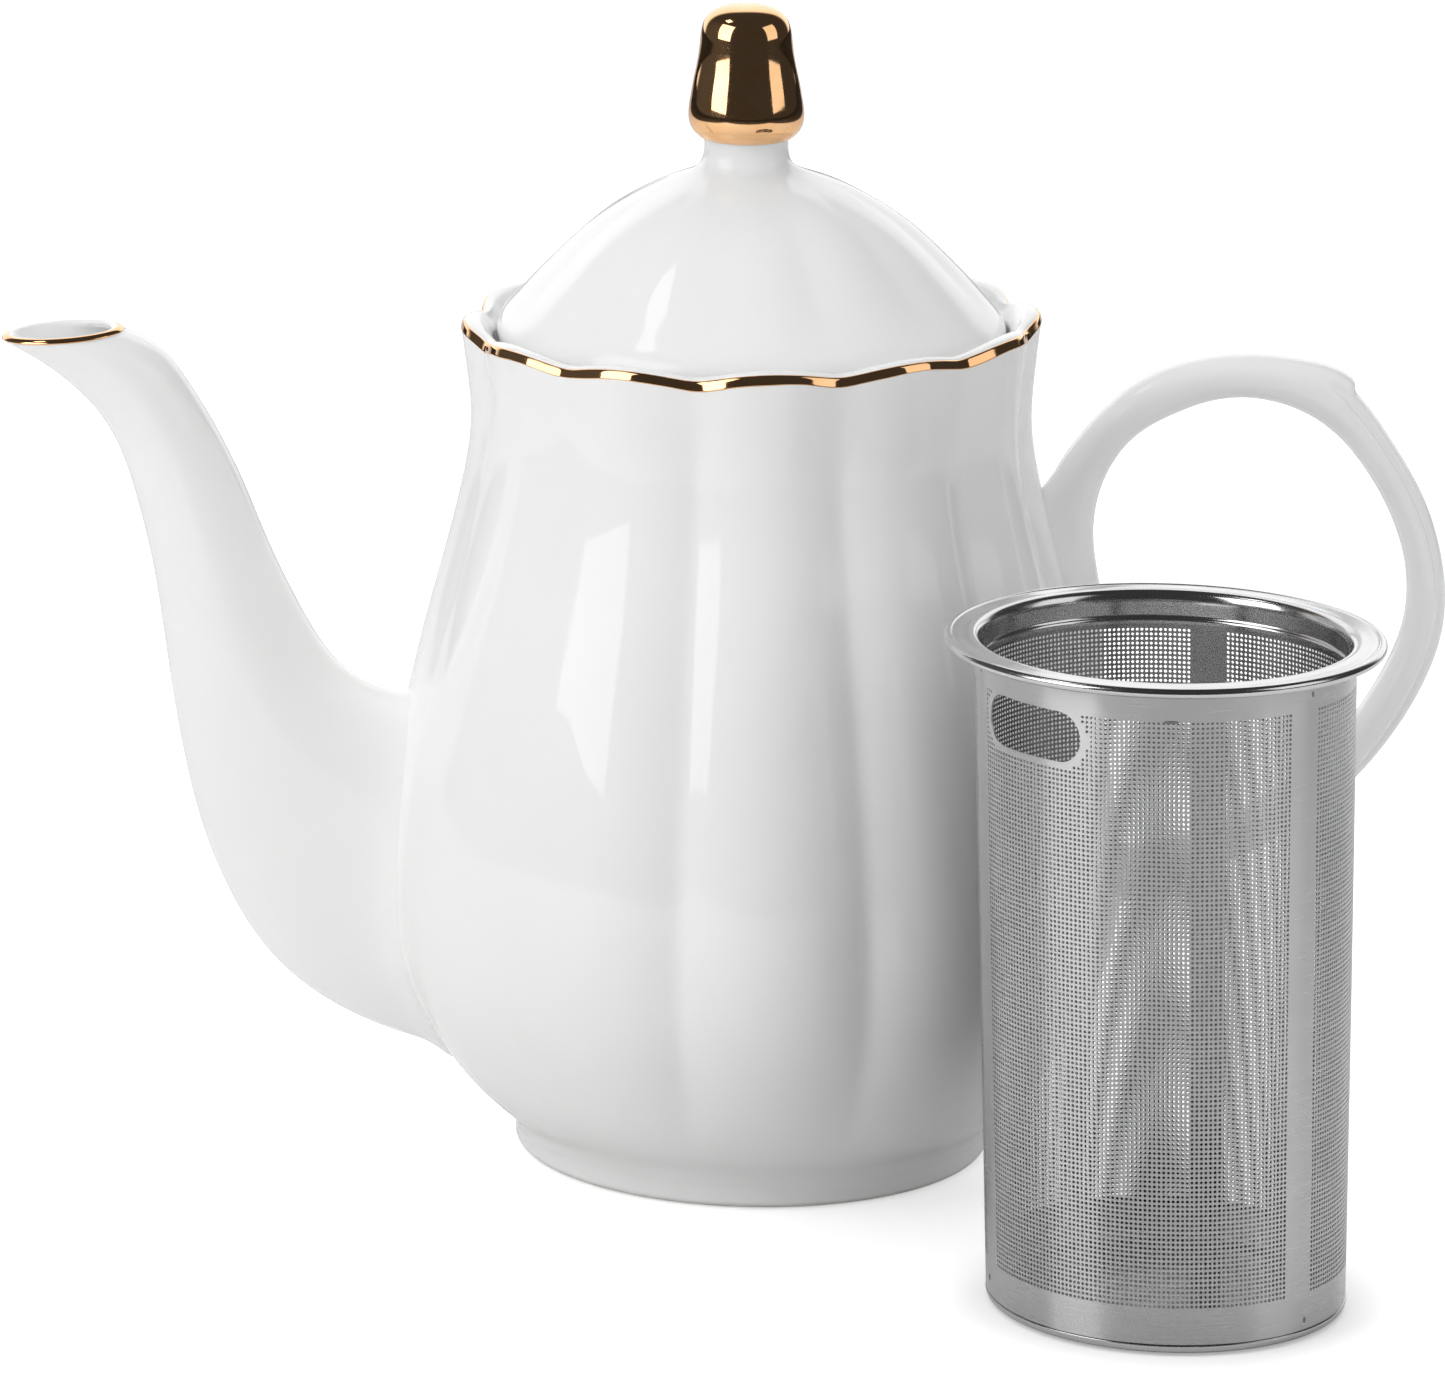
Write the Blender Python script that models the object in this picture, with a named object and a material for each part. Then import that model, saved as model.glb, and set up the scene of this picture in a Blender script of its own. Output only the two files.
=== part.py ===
"""Porcelain teapot with lift-off lid and a stainless steel loose-leaf infuser.

Sizes are in millimetres and are scaled to metres as objects are made; +Z is up.
The origin is on the table, at the centre of the footprint of the pot and the
infuser together.  The spout points to -X, the handle to +X.  The infuser stands
beside the pot, on its -Y side.
"""
import math

import bmesh
import bpy
from mathutils import Vector

MM = 0.001
GAP = 0.3                      # clearance kept between neighbouring pieces
SHARP_ANGLE = 40.0             # degrees; steeper edges are shaded sharp

# ------------------------------------------------------- driving dimensions
POT_X, POT_Y = 4.3, 26.45      # the pot's axis
INFUSER_X, INFUSER_Y = POT_X + 56.0, POT_Y - 78.0

LOBES = 12                     # convex petals round the pot and the lid
STEPS_PER_LOBE = 4             # facets across one petal
CREASE_START = 0.80            # where a petal starts to round into its crease

RIM_R = 45.3
RIM_Z = 128.9
LEDGE_Z = 121.4                # ledge the lid rests on
MOUTH_WALL_R = 41.0            # inner wall above the ledge
SEAT_R = 33.2                  # counterbore the infuser's flange rests in
SEAT_Z = LEDGE_Z - 1.7
MOUTH_R = 29.6                 # hole the infuser passes through

GILT_H = 1.1                   # height of the gold line round the rim
GILT_T = 0.35                  # modelled thickness of a gold line
GILT_STEP = GILT_T + GAP       # depth of the rebate behind a gold line
GILT_BASE_Z = RIM_Z - 0.6 - GILT_H

# ---------------------------------------------------------------- materials
# colours are linear RGB
PORCELAIN = dict(colour=(0.88, 0.88, 0.875), roughness=0.08, metallic=0.0)
GOLD = dict(colour=(0.86, 0.55, 0.27), roughness=0.10, metallic=1.0)
POLISHED_STEEL = dict(colour=(0.66, 0.66, 0.66), roughness=0.16, metallic=1.0)
PERFORATED_STEEL = dict(colour=(0.60, 0.60, 0.60), roughness=0.24, metallic=1.0)


def material(name, colour, roughness, metallic):
    mat = bpy.data.materials.new(name)
    mat.use_nodes = True
    shader = mat.node_tree.nodes["Principled BSDF"]
    shader.inputs["Base Color"].default_value = (*colour, 1.0)
    shader.inputs["Roughness"].default_value = roughness
    shader.inputs["Metallic"].default_value = metallic
    return mat


# ------------------------------------------------------------------ objects
def clear_scene():
    for obj in list(bpy.data.objects):
        bpy.data.objects.remove(obj, do_unlink=True)


def mesh_object(name, verts, faces, mat, parent):
    """Make an object from millimetre points, with its faces turned outwards."""
    mesh = bpy.data.meshes.new(name)
    mesh.from_pydata([Vector(vert) * MM for vert in verts], [], faces)
    mesh.validate()
    bm = bmesh.new()
    bm.from_mesh(mesh)
    bmesh.ops.recalc_face_normals(bm, faces=bm.faces)
    if bm.calc_volume(signed=True) < 0:
        bmesh.ops.reverse_faces(bm, faces=bm.faces)
    bm.to_mesh(mesh)
    bm.free()
    if mat is not None:
        mesh.materials.append(mat)
    mesh.shade_smooth()
    mesh.set_sharp_from_angle(angle=math.radians(SHARP_ANGLE))
    obj = bpy.data.objects.new(name, mesh)
    bpy.context.scene.collection.objects.link(obj)
    obj.parent = parent
    return obj


def cutter_object(name, verts, faces, parent):
    obj = mesh_object(name, verts, faces, None, parent)
    obj.hide_render = True
    obj.display_type = "WIRE"
    return obj


def cut(obj, cutter):
    mod = obj.modifiers.new("cut_" + cutter.name, "BOOLEAN")
    mod.operation = "DIFFERENCE"
    mod.solver = "EXACT"
    mod.object = cutter


def empty_at(name, x, y, z):
    axis = bpy.data.objects.new(name, None)
    axis.location = (x * MM, y * MM, z * MM)
    bpy.context.scene.collection.objects.link(axis)
    return axis


# ----------------------------------------------------------- rings and skins
def circle(radius, segs):
    angles = [2 * math.pi * i / segs for i in range(segs)]
    return [(radius * math.cos(angle), radius * math.sin(angle)) for angle in angles]


def round_ring(radius, z, segs):
    return [(x, y, z) for x, y in circle(radius, segs)]


def crease(offset):
    """0 at a petal's crest (offset 0), 1 in the crease (offset +-1)."""
    offset = abs(offset)
    if offset < CREASE_START:
        return offset * offset / CREASE_START
    past = offset - CREASE_START
    return CREASE_START + 2 * past - past * past / (1 - CREASE_START)


def lobed_ring(radius, z, depth=0.0, arch=0.0):
    """Horizontal ring of petals with a crest on each of +X, -X, +Y and -Y.

    depth is how far the creases lie inside the crests, and arch how far below.
    """
    half_petal = math.pi / LOBES
    ring = []
    for lobe in range(LOBES):
        for i in range(STEPS_PER_LOBE):
            offset = -1 + 2 * i / STEPS_PER_LOBE
            angle = 2 * half_petal * lobe + offset * half_petal
            reach = radius - depth * crease(offset)
            ring.append((reach * math.cos(angle), reach * math.sin(angle),
                         z - arch * offset * offset))
    return ring


def skin_rings(rings, first_pole=None, last_pole=None, closed=False):
    """Quads between rings of equal count, with an optional pole at each end."""
    count = len(rings[0])
    verts = [point for ring in rings for point in ring]
    last = (len(rings) - 1) * count
    faces = []
    for k in range(len(rings) if closed else len(rings) - 1):
        here, there = k * count, ((k + 1) % len(rings)) * count
        for i in range(count):
            j = (i + 1) % count
            faces.append((here + i, here + j, there + j, there + i))
    if first_pole is not None:
        tip = len(verts)
        verts.append(first_pole)
        faces += [((i + 1) % count, i, tip) for i in range(count)]
    if last_pole is not None:
        tip = len(verts)
        verts.append(last_pole)
        faces += [(last + i, last + (i + 1) % count, tip) for i in range(count)]
    return verts, faces


def cap_rings(rings):
    """A tube of sections closed with a flat face at each end."""
    verts, faces = skin_rings(rings)
    count = len(rings[0])
    last = (len(rings) - 1) * count
    faces.append(tuple(reversed(range(count))))
    faces.append(tuple(range(last, last + count)))
    return verts, faces


def catmull(stations, share):
    """Catmull-Rom value at share (0..1) along equally weighted stations."""
    spans = len(stations) - 1
    place = min(max(share, 0.0), 1.0) * spans
    i = min(int(place), spans - 1)
    f = place - i              # fraction of the way along the span
    start, end = stations[i], stations[i + 1]
    if i > 0:
        before = stations[i - 1]
    else:
        before = tuple(2 * s - e for s, e in zip(start, end))
    if i + 2 <= spans:
        after = stations[i + 2]
    else:
        after = tuple(2 * e - s for s, e in zip(start, end))
    return tuple(
        0.5 * (2 * s + (e - b) * f + (2 * b - 5 * s + 4 * e - a) * f * f
               + (3 * s - b - 3 * e + a) * f ** 3)
        for b, s, e, a in zip(before, start, end, after))


def ellipse_section(start, end, half_width, segs, shrink=0.0, lift=0.0):
    """Ellipse across the XZ plane whose axis in it runs from start to end.

    shrink insets it; lift moves it square to its own plane.
    """
    (start_x, start_z), (end_x, end_z) = start, end
    mid_x, mid_z = (start_x + end_x) / 2, (start_z + end_z) / 2
    half_x, half_z = (end_x - start_x) / 2, (end_z - start_z) / 2
    half_length = math.hypot(half_x, half_z)
    scale = (half_length - shrink) / half_length
    lift_x, lift_z = -half_z / half_length * lift, half_x / half_length * lift
    return [(mid_x + along * half_x * scale + lift_x,
             across * (half_width - shrink),
             mid_z + along * half_z * scale + lift_z)
            for along, across in circle(1.0, segs)]


# ----------------------------------------------------------------- pot body
FOOT_R = 36.6                  # foot ring, outer radius
BELLY_R = 57.6                 # widest radius, at the petals' crests
BELLY_Z = 42.0
WALL = 4.0                     # crest to inner wall
BODY_LOBE = 1.7                # depth of a crease below the crests
LOBE_START_Z = 5.0             # creases fade in from here, above the plain foot
LOBE_FADE_H = 20.0             # to full depth over this height
RIM_ARCH = 1.3                 # height of each petal's arch at the rim
UNDERSIDE_Z = 4.8              # underside, at the axis
FLOOR_Z = 8.6                  # inside floor, at the axis

# underside and foot ring, from the middle outwards: radius, height
FOOT = [
    (26.0, 4.6), (31.6, 4.0), (32.6, 0.8), (33.3, 0.0), (35.8, 0.0), (FOOT_R, 0.7)]

# outer wall, foot to rim: radius at the petals' crests, height
OUTER_WALL = [
    (FOOT_R, 2.6), (37.5, 4.8), (40.6, 7.8), (45.0, 12.0), (49.9, 18.0), (53.7, 24.0),
    (56.3, 30.5), (BELLY_R, BELLY_Z), (56.9, 52.0), (55.3, 62.0), (53.1, 72.0),
    (50.6, 82.0), (48.0, 91.0), (45.9, 99.5), (44.3, 107.0), (43.8, 112.5), (44.3, 119.0)]

# rebate for the gold line, then over the rounded, scalloped rim:
# radius, height, share of the crease depth, share of the arch
RIM = [
    (RIM_R, GILT_BASE_Z - GAP, 1.0, 1.0),
    (RIM_R - GILT_STEP, GILT_BASE_Z - GAP + 0.05, 1.0, 1.0),
    (RIM_R - GILT_STEP - 0.1, RIM_Z - 0.5, 1.0, 1.0),
    (RIM_R - 1.6, RIM_Z, 0.8, 1.0),
    (42.0, RIM_Z - 0.2, 0.3, 1.0),
    (41.3, RIM_Z - 1.4, 0.0, 0.7)]

# inside the neck, downwards: mouth wall, lid ledge, infuser seat, mouth: radius, height
GALLERY = [
    (MOUTH_WALL_R, LEDGE_Z + 0.7), (MOUTH_WALL_R - 0.7, LEDGE_Z),
    (SEAT_R, LEDGE_Z), (SEAT_R, SEAT_Z), (MOUTH_R + 0.5, SEAT_Z),
    (MOUTH_R, SEAT_Z - 0.5), (MOUTH_R, SEAT_Z - 2.4), (33.5, 115.0), (39.2, 109.5)]

# inner wall, downwards: radius before WALL is taken off, height
INNER_WALL = [
    (49.5, 84.0), (53.1, 72.0), (55.8, 58.0), (BELLY_R, BELLY_Z), (55.2, 28.0), (50.2, 19.0)]

# inside floor, inwards: radius, height
FLOOR = [(38.5, 11.2), (26.0, 8.9)]

STRAINER_HOLE_R = 2.1
STRAINER_SEGS = 10
STRAINER_RING_HOLES = 6        # holes round the central one
STRAINER_RING_R = 6.6
STRAINER_SPREAD_Y, STRAINER_SPREAD_Z = 0.8, 1.35   # stretch of the ring of holes
STRAINER_Z = 45.0
STRAINER_X = (-66.0, -44.0)    # ends of the cutters


def body_lobe_depth(z):
    share = min(1.0, max(0.0, (z - LOBE_START_Z) / LOBE_FADE_H))
    return BODY_LOBE * share * share * (3 - 2 * share)


def make_pot_body(mat, parent):
    rings = [lobed_ring(radius, z) for radius, z in FOOT]
    rings += [lobed_ring(radius, z, body_lobe_depth(z)) for radius, z in OUTER_WALL]
    rings += [lobed_ring(radius, z, BODY_LOBE * depth, RIM_ARCH * arch)
              for radius, z, depth, arch in RIM]
    rings += [lobed_ring(radius, z) for radius, z in GALLERY]
    rings += [lobed_ring(radius - WALL, z) for radius, z in INNER_WALL]
    rings += [lobed_ring(radius, z) for radius, z in FLOOR]
    verts, faces = skin_rings(rings, (0, 0, UNDERSIDE_Z), (0, 0, FLOOR_Z))
    body = mesh_object("pot_body", verts, faces, mat, parent)
    cut_strainer_holes(body, parent)


def cut_strainer_holes(body, parent):
    """Holes through the wall at the spout's root, in a stretched ring round one hole."""
    centres = [(STRAINER_RING_R * math.sin(angle), STRAINER_RING_R * math.cos(angle))
               for angle in (2 * math.pi * i / STRAINER_RING_HOLES
                             for i in range(STRAINER_RING_HOLES))]
    centres.append((0.0, 0.0))
    for i, (across, up) in enumerate(centres):
        hole_y = across * STRAINER_SPREAD_Y
        hole_z = STRAINER_Z + up * STRAINER_SPREAD_Z
        rings = [[(x, hole_y + y, hole_z + z) for y, z in circle(STRAINER_HOLE_R, STRAINER_SEGS)]
                 for x in STRAINER_X]
        cut(body, cutter_object(f"strainer_hole_{i + 1}", *cap_rings(rings), parent))


def make_body_core(parent):
    """The pot's outer form as a plain solid, GAP larger, to trim what joins it."""
    bottom, top = 1.0, OUTER_WALL[-1][1]
    rings = [lobed_ring(FOOT_R - 1.5 + GAP, bottom)]
    rings += [lobed_ring(radius + GAP, z, body_lobe_depth(z)) for radius, z in OUTER_WALL]
    verts, faces = skin_rings(rings, (0, 0, bottom), (0, 0, top))
    return cutter_object("body_core", verts, faces, parent)


def make_rim_gilt(mat, parent):
    # inset from the rim's radius, height above the line's base
    profile = [(0.0, 0.0), (0.0, GILT_H * 0.7), (0.15, GILT_H),
               (GILT_T, GILT_H - 0.05), (GILT_T, 0.0)]
    rings = [lobed_ring(RIM_R - inset, GILT_BASE_Z + height, BODY_LOBE, RIM_ARCH)
             for inset, height in profile]
    mesh_object("rim_gold_band", *skin_rings(rings, closed=True), mat, parent)


# -------------------------------------------------------------------- spout
# tip to root: under edge x, z; upper edge x, z; half width across the spout
SPOUT = [
    (-117.0, 124.6, -98.2, 126.0, 7.8), (-110.5, 119.6, -94.2, 122.4, 7.7),
    (-103.4, 113.4, -89.3, 117.6, 7.6), (-98.6, 106.2, -84.5, 111.0, 7.6),
    (-95.6, 98.0, -79.8, 102.4, 7.8), (-93.5, 89.0, -75.5, 93.0, 8.3),
    (-91.9, 79.0, -70.8, 83.4, 8.9), (-90.3, 68.5, -65.0, 74.6, 9.6),
    (-87.6, 55.0, -57.5, 70.2, 10.3), (-83.0, 41.5, -49.5, 68.0, 10.8),
    (-74.2, 27.8, -45.5, 63.5, 11.0), (-60.5, 18.6, -43.5, 56.0, 10.8),
    (-46.0, 14.0, -42.0, 48.0, 10.0)]
SPOUT_SEGS = 20
SPOUT_SPANS = 16               # spans along the outside
BORE_SPANS = 14                # spans along the bore
SPOUT_WALL_TIP, SPOUT_WALL_BASE = 2.0, 2.9
BORE_LIFT = 1.0                # how far the bore's cutter stands out of the tip
# shares of the spout's length, from the tip
TIP_BAND_T = 0.012             # rebate for the tip's gold line
TIP_BAND_EDGE = 0.002          # step at the rebate's end, and the gap before it
TIP_BAND_LIFT = 0.1            # how far the gold line stands past the tip


def spout_section(share, shrink=0.0, lift=0.0):
    under_x, under_z, upper_x, upper_z, half_width = catmull(SPOUT, share)
    return ellipse_section((under_x, under_z), (upper_x, upper_z), half_width,
                           SPOUT_SEGS, shrink, lift)


def make_spout(mat, core, parent):
    rings = [spout_section(0.0, GILT_STEP), spout_section(TIP_BAND_T, GILT_STEP),
             spout_section(TIP_BAND_T + TIP_BAND_EDGE)]
    rings += [spout_section(i / SPOUT_SPANS) for i in range(1, SPOUT_SPANS + 1)]
    spout = mesh_object("spout", *cap_rings(rings), mat, parent)
    bore = []
    for i in range(BORE_SPANS + 1):
        share = i / BORE_SPANS
        # the wall thickens from the tip to halfway down
        wall = SPOUT_WALL_TIP + (SPOUT_WALL_BASE - SPOUT_WALL_TIP) * min(1.0, 2 * share)
        bore.append(spout_section(share, wall, BORE_LIFT if i == 0 else 0.0))
    cut(spout, cutter_object("spout_bore", *cap_rings(bore), parent))
    cut(spout, core)


def make_spout_gilt(mat, parent):
    low = TIP_BAND_T - TIP_BAND_EDGE
    rings = [spout_section(low), spout_section(0.0, 0.0, TIP_BAND_LIFT),
             spout_section(0.0, GILT_T, TIP_BAND_LIFT), spout_section(low, GILT_T)]
    mesh_object("spout_gold_band", *skin_rings(rings, closed=True), mat, parent)


# ------------------------------------------------------------------- handle
# from inside the pot's wall, up over the top and back down to it:
# one edge x, z; opposite edge x, z; half width across the handle
HANDLE = [
    (47.0, 60.0, 51.6, 58.0, 2.6), (46.4, 72.0, 54.4, 71.0, 3.2),
    (45.2, 84.0, 55.0, 83.0, 3.8), (44.6, 95.5, 53.6, 93.0, 4.2),
    (47.6, 103.8, 54.6, 101.2, 4.3), (53.3, 111.6, 59.4, 109.0, 4.2),
    (61.9, 118.8, 66.4, 113.2, 4.1), (72.4, 122.0, 72.4, 115.2, 4.1),
    (82.4, 122.1, 79.6, 115.4, 4.1), (89.6, 120.2, 86.2, 113.4, 4.2),
    (94.0, 117.3, 90.4, 110.7, 4.1), (95.2, 114.2, 92.4, 108.9, 3.9),
    (100.6, 108.0, 96.2, 104.2, 3.9), (105.4, 99.2, 100.3, 96.6, 4.0),
    (108.0, 90.0, 102.4, 89.0, 4.0), (108.1, 80.0, 102.1, 80.8, 4.0),
    (105.0, 71.0, 99.2, 73.4, 4.0), (99.4, 62.0, 94.2, 65.6, 4.0),
    (91.4, 53.4, 87.2, 58.2, 4.1), (81.6, 46.6, 78.6, 52.2, 4.2),
    (70.4, 41.4, 68.6, 47.6, 4.4), (58.0, 37.4, 57.2, 44.4, 4.8),
    (47.5, 35.0, 47.2, 42.8, 5.2)]
HANDLE_SEGS = 12
HANDLE_SPANS = 2 * (len(HANDLE) - 1)


def handle_section(share):
    outer_x, outer_z, inner_x, inner_z, half_width = catmull(HANDLE, share)
    return ellipse_section((inner_x, inner_z), (outer_x, outer_z), half_width, HANDLE_SEGS)


def make_handle(mat, core, parent):
    rings = [handle_section(i / HANDLE_SPANS) for i in range(HANDLE_SPANS + 1)]
    handle = mesh_object("handle", *cap_rings(rings), mat, parent)
    cut(handle, core)


# ---------------------------------------------------------------------- lid
# Heights are given on the closed pot; the meshes start from the lid's bottom.
LID_R = MOUTH_WALL_R - 1.3
LID_BOTTOM_Z = LEDGE_Z + GAP
LID_LOBE = 0.75                # depth of a crease below the crests
SKIRT_R = 25.5
SKIRT_Z = LID_BOTTOM_Z - 8.0
POST_R, POST_TOP_Z = 3.4, 158.0   # post standing in the knob's socket
NECK_TOP_Z = 154.5
LID_CEILING_Z = 146.8          # inside of the dome, at the axis

# radius, height, share of the crease depth
LID_PROFILE = [
    # post and neck
    (POST_R, POST_TOP_Z, 0.0), (POST_R, NECK_TOP_Z, 0.0), (6.7, NECK_TOP_Z, 0.0),
    (6.85, 152.8, 0.0),
    # outer form from the neck to the brim
    (7.8, 151.5, 0.0), (11.3, 150.0, 0.2), (18.5, 147.0, 0.5), (23.4, 144.0, 0.8),
    (27.2, 141.0, 1.0), (31.2, 137.25, 1.0), (34.8, 133.5, 0.75), (37.5, 130.5, 0.3),
    (39.0, 128.8, 0.0), (LID_R, 127.2, 0.0), (39.4, 124.4, 0.0), (38.2, LID_BOTTOM_Z, 0.0),
    # skirt
    (SKIRT_R, LID_BOTTOM_Z, 0.0), (SKIRT_R, SKIRT_Z + 0.6, 0.0), (SKIRT_R - 0.6, SKIRT_Z, 0.0),
    (SKIRT_R - 2.6, SKIRT_Z, 0.0), (SKIRT_R - 3.0, 125.0, 0.0),
    # hollow of the dome
    (34.4, 125.4, 0.0), (34.6, 128.2, 0.0), (30.4, 133.4, 0.0), (23.2, 139.4, 0.0),
    (12.0, 145.4, 0.0)]

VENT_R = 1.5
VENT_Y = 19.0
VENT_SEGS = 10
VENT_Z = (136.0, 152.0)        # ends of the cutter

KNOB_SEGS = 28
KNOB_TOP_Z = 177.0
KNOB_BOTTOM_Z = NECK_TOP_Z + GAP
SOCKET_R = 3.9
SOCKET_TOP_Z = 169.6

# outside of the knob downwards, then up its socket: radius, height
KNOB_PROFILE = [
    (3.0, 176.85), (5.2, 176.1), (6.6, 174.8), (7.25, 172.6), (7.6, 168.4), (8.3, 165.0),
    (8.9, 162.2), (9.1, 159.4), (8.8, 157.0), (7.9, 155.6), (6.8, KNOB_BOTTOM_Z),
    (SOCKET_R, KNOB_BOTTOM_Z), (SOCKET_R, 166.0), (2.4, 169.0)]


def make_lid(mat, parent):
    rings = [lobed_ring(radius, z - LID_BOTTOM_Z, LID_LOBE * depth)
             for radius, z, depth in LID_PROFILE]
    verts, faces = skin_rings(rings, (0, 0, POST_TOP_Z - LID_BOTTOM_Z),
                              (0, 0, LID_CEILING_Z - LID_BOTTOM_Z))
    lid = mesh_object("lid_shell", verts, faces, mat, parent)
    # steam vent through the dome, on the +Y side of the knob
    rings = [[(x, VENT_Y + y, z - LID_BOTTOM_Z) for x, y in circle(VENT_R, VENT_SEGS)]
             for z in VENT_Z]
    cut(lid, cutter_object("steam_vent", *cap_rings(rings), parent))


def make_knob(mat, parent):
    rings = [round_ring(radius, z - LID_BOTTOM_Z, KNOB_SEGS) for radius, z in KNOB_PROFILE]
    verts, faces = skin_rings(rings, (0, 0, KNOB_TOP_Z - LID_BOTTOM_Z),
                              (0, 0, SOCKET_TOP_Z - LID_BOTTOM_Z))
    mesh_object("lid_knob", verts, faces, mat, parent)


# ------------------------------------------------------------------ infuser
INF_H = 97.6                   # table to the flange's top
INF_FLANGE_R = SEAT_R - 0.7
INF_TOP_R = MOUTH_R - 1.4      # perforated wall, outer radius at the top
INF_BOTTOM_R = 26.4            # and at the bottom
INF_SHEET = 0.5                # wall sheet
INF_SEGS = 56
INF_WALL_Z = (1.7, INF_H - 2.0)
COLLAR_R = INF_TOP_R - INF_SHEET - GAP   # flange's collar, inside the wall
COLLAR_DEPTH = 5.6
COLLAR_SHEET = 0.6
BASE_TOP_Z = 6.0               # top of the base's upturned edge, inside the wall
BASE_FLOOR_Z = 0.6

SLOT_AZ = (198.6, 237.6)       # window slot, degrees from +X
SLOT_Z = (84.4, 91.8)
SLOT_END_STEPS = 8             # facets round each end
SLOT_REACH = 3.0               # cutter's reach to each side of the wall


def wall_radius(z):
    """Outer radius of the slightly tapered perforated wall."""
    return INF_BOTTOM_R + (INF_TOP_R - INF_BOTTOM_R) * z / INF_H


def make_infuser_flange(mat, parent):
    edge, top = INF_FLANGE_R, INF_H
    bottom = top - COLLAR_DEPTH
    # over the rolled edge, under the flange, down and up the collar: radius, height
    profile = [
        (edge - 0.5, top), (edge, top - 0.5), (edge - 0.1, top - 1.4),
        (edge - 0.6, top - 1.5), (edge - 1.0, top - 0.7), (COLLAR_R + 1.0, top - 0.7),
        (COLLAR_R, top - 1.7), (COLLAR_R - 0.1, bottom), (COLLAR_R - COLLAR_SHEET, bottom),
        (COLLAR_R - COLLAR_SHEET + 0.1, top - 1.2), (COLLAR_R + 0.9, top)]
    rings = [round_ring(radius, z, INF_SEGS) for radius, z in profile]
    mesh_object("infuser_flange", *skin_rings(rings, closed=True), mat, parent)


def slot_outline(radius):
    """(azimuth in degrees, height) round the slot, on a wall of this radius."""
    low, high = SLOT_Z
    half, middle = (high - low) / 2, (low + high) / 2
    end = math.degrees(half / radius)      # angle taken up by a round end
    first, second = SLOT_AZ[0] + end, SLOT_AZ[1] - end
    outline = []
    for start, centre, other in ((90, first, second), (-90, second, first)):
        for i in range(SLOT_END_STEPS + 1):
            turn = math.radians(start + 180 * i / SLOT_END_STEPS)
            outline.append((centre + math.cos(turn) * end, middle + math.sin(turn) * half))
        # follow the wall's curve along the straight edge to the other end
        edge_z = outline[-1][1]
        outline += [(centre + (other - centre) * share, edge_z) for share in (0.25, 0.5, 0.75)]
    return outline


def make_infuser_wall(mat, parent):
    low, high = INF_WALL_Z
    profile = [(wall_radius(z), z) for z in (low, high)]
    profile += [(wall_radius(z) - INF_SHEET, z) for z in (high, low)]
    rings = [round_ring(radius, z, INF_SEGS) for radius, z in profile]
    wall = mesh_object("infuser_wall", *skin_rings(rings, closed=True), mat, parent)
    slot_r = wall_radius((SLOT_Z[0] + SLOT_Z[1]) / 2)
    rings = [[(radius * math.cos(math.radians(azimuth)),
               radius * math.sin(math.radians(azimuth)), z)
              for azimuth, z in slot_outline(slot_r)]
             for radius in (slot_r - SLOT_REACH, slot_r + SLOT_REACH)]
    cut(wall, cutter_object("window_slot", *cap_rings(rings), parent))


def make_infuser_base(mat, parent):
    edge = INF_BOTTOM_R
    inside = wall_radius(3.0) - INF_SHEET - GAP
    # underside outwards, up inside the wall, down to the floor: radius, height
    profile = [
        (edge - 1.9, 0.0), (edge - 0.7, 0.25), (edge - 0.05, 0.9), (edge, 1.4),
        (inside, 1.4), (inside, BASE_TOP_Z), (inside - 0.5, BASE_TOP_Z),
        (inside - 0.6, 1.5), (inside - 1.6, BASE_FLOOR_Z)]
    rings = [round_ring(radius, z, INF_SEGS) for radius, z in profile]
    verts, faces = skin_rings(rings, (0, 0, 0.0), (0, 0, BASE_FLOOR_Z))
    mesh_object("infuser_base", verts, faces, mat, parent)


# ----------------------------------------------------------------- assembly
def make_pot():
    porcelain = material("white_porcelain", **PORCELAIN)
    gold = material("gold_lustre", **GOLD)
    axis = empty_at("pot_axis", POT_X, POT_Y, 0)
    core = make_body_core(axis)
    make_pot_body(porcelain, axis)
    make_spout(porcelain, core, axis)
    make_handle(porcelain, core, axis)
    make_rim_gilt(gold, axis)
    make_spout_gilt(gold, axis)


def make_lid_and_knob():
    axis = empty_at("lid_axis", POT_X, POT_Y, LID_BOTTOM_Z)
    make_lid(material("white_porcelain_lid", **PORCELAIN), axis)
    make_knob(material("gold_lustre_knob", **GOLD), axis)


def make_infuser():
    steel = material("polished_steel", **POLISHED_STEEL)
    axis = empty_at("infuser_axis", INFUSER_X, INFUSER_Y, 0)
    make_infuser_flange(steel, axis)
    make_infuser_wall(material("perforated_steel", **PERFORATED_STEEL), axis)
    make_infuser_base(steel, axis)


clear_scene()
make_pot()
make_lid_and_knob()
make_infuser()
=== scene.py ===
"""Looks of the porcelain teapot and its steel infuser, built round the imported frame.

Lengths below are millimetres in each piece's own axis frame; meshes are written
in metres in the row frame.  The spout points to -X, the handle to +X and the
camera stands on the -Y side.
"""

import math

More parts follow.
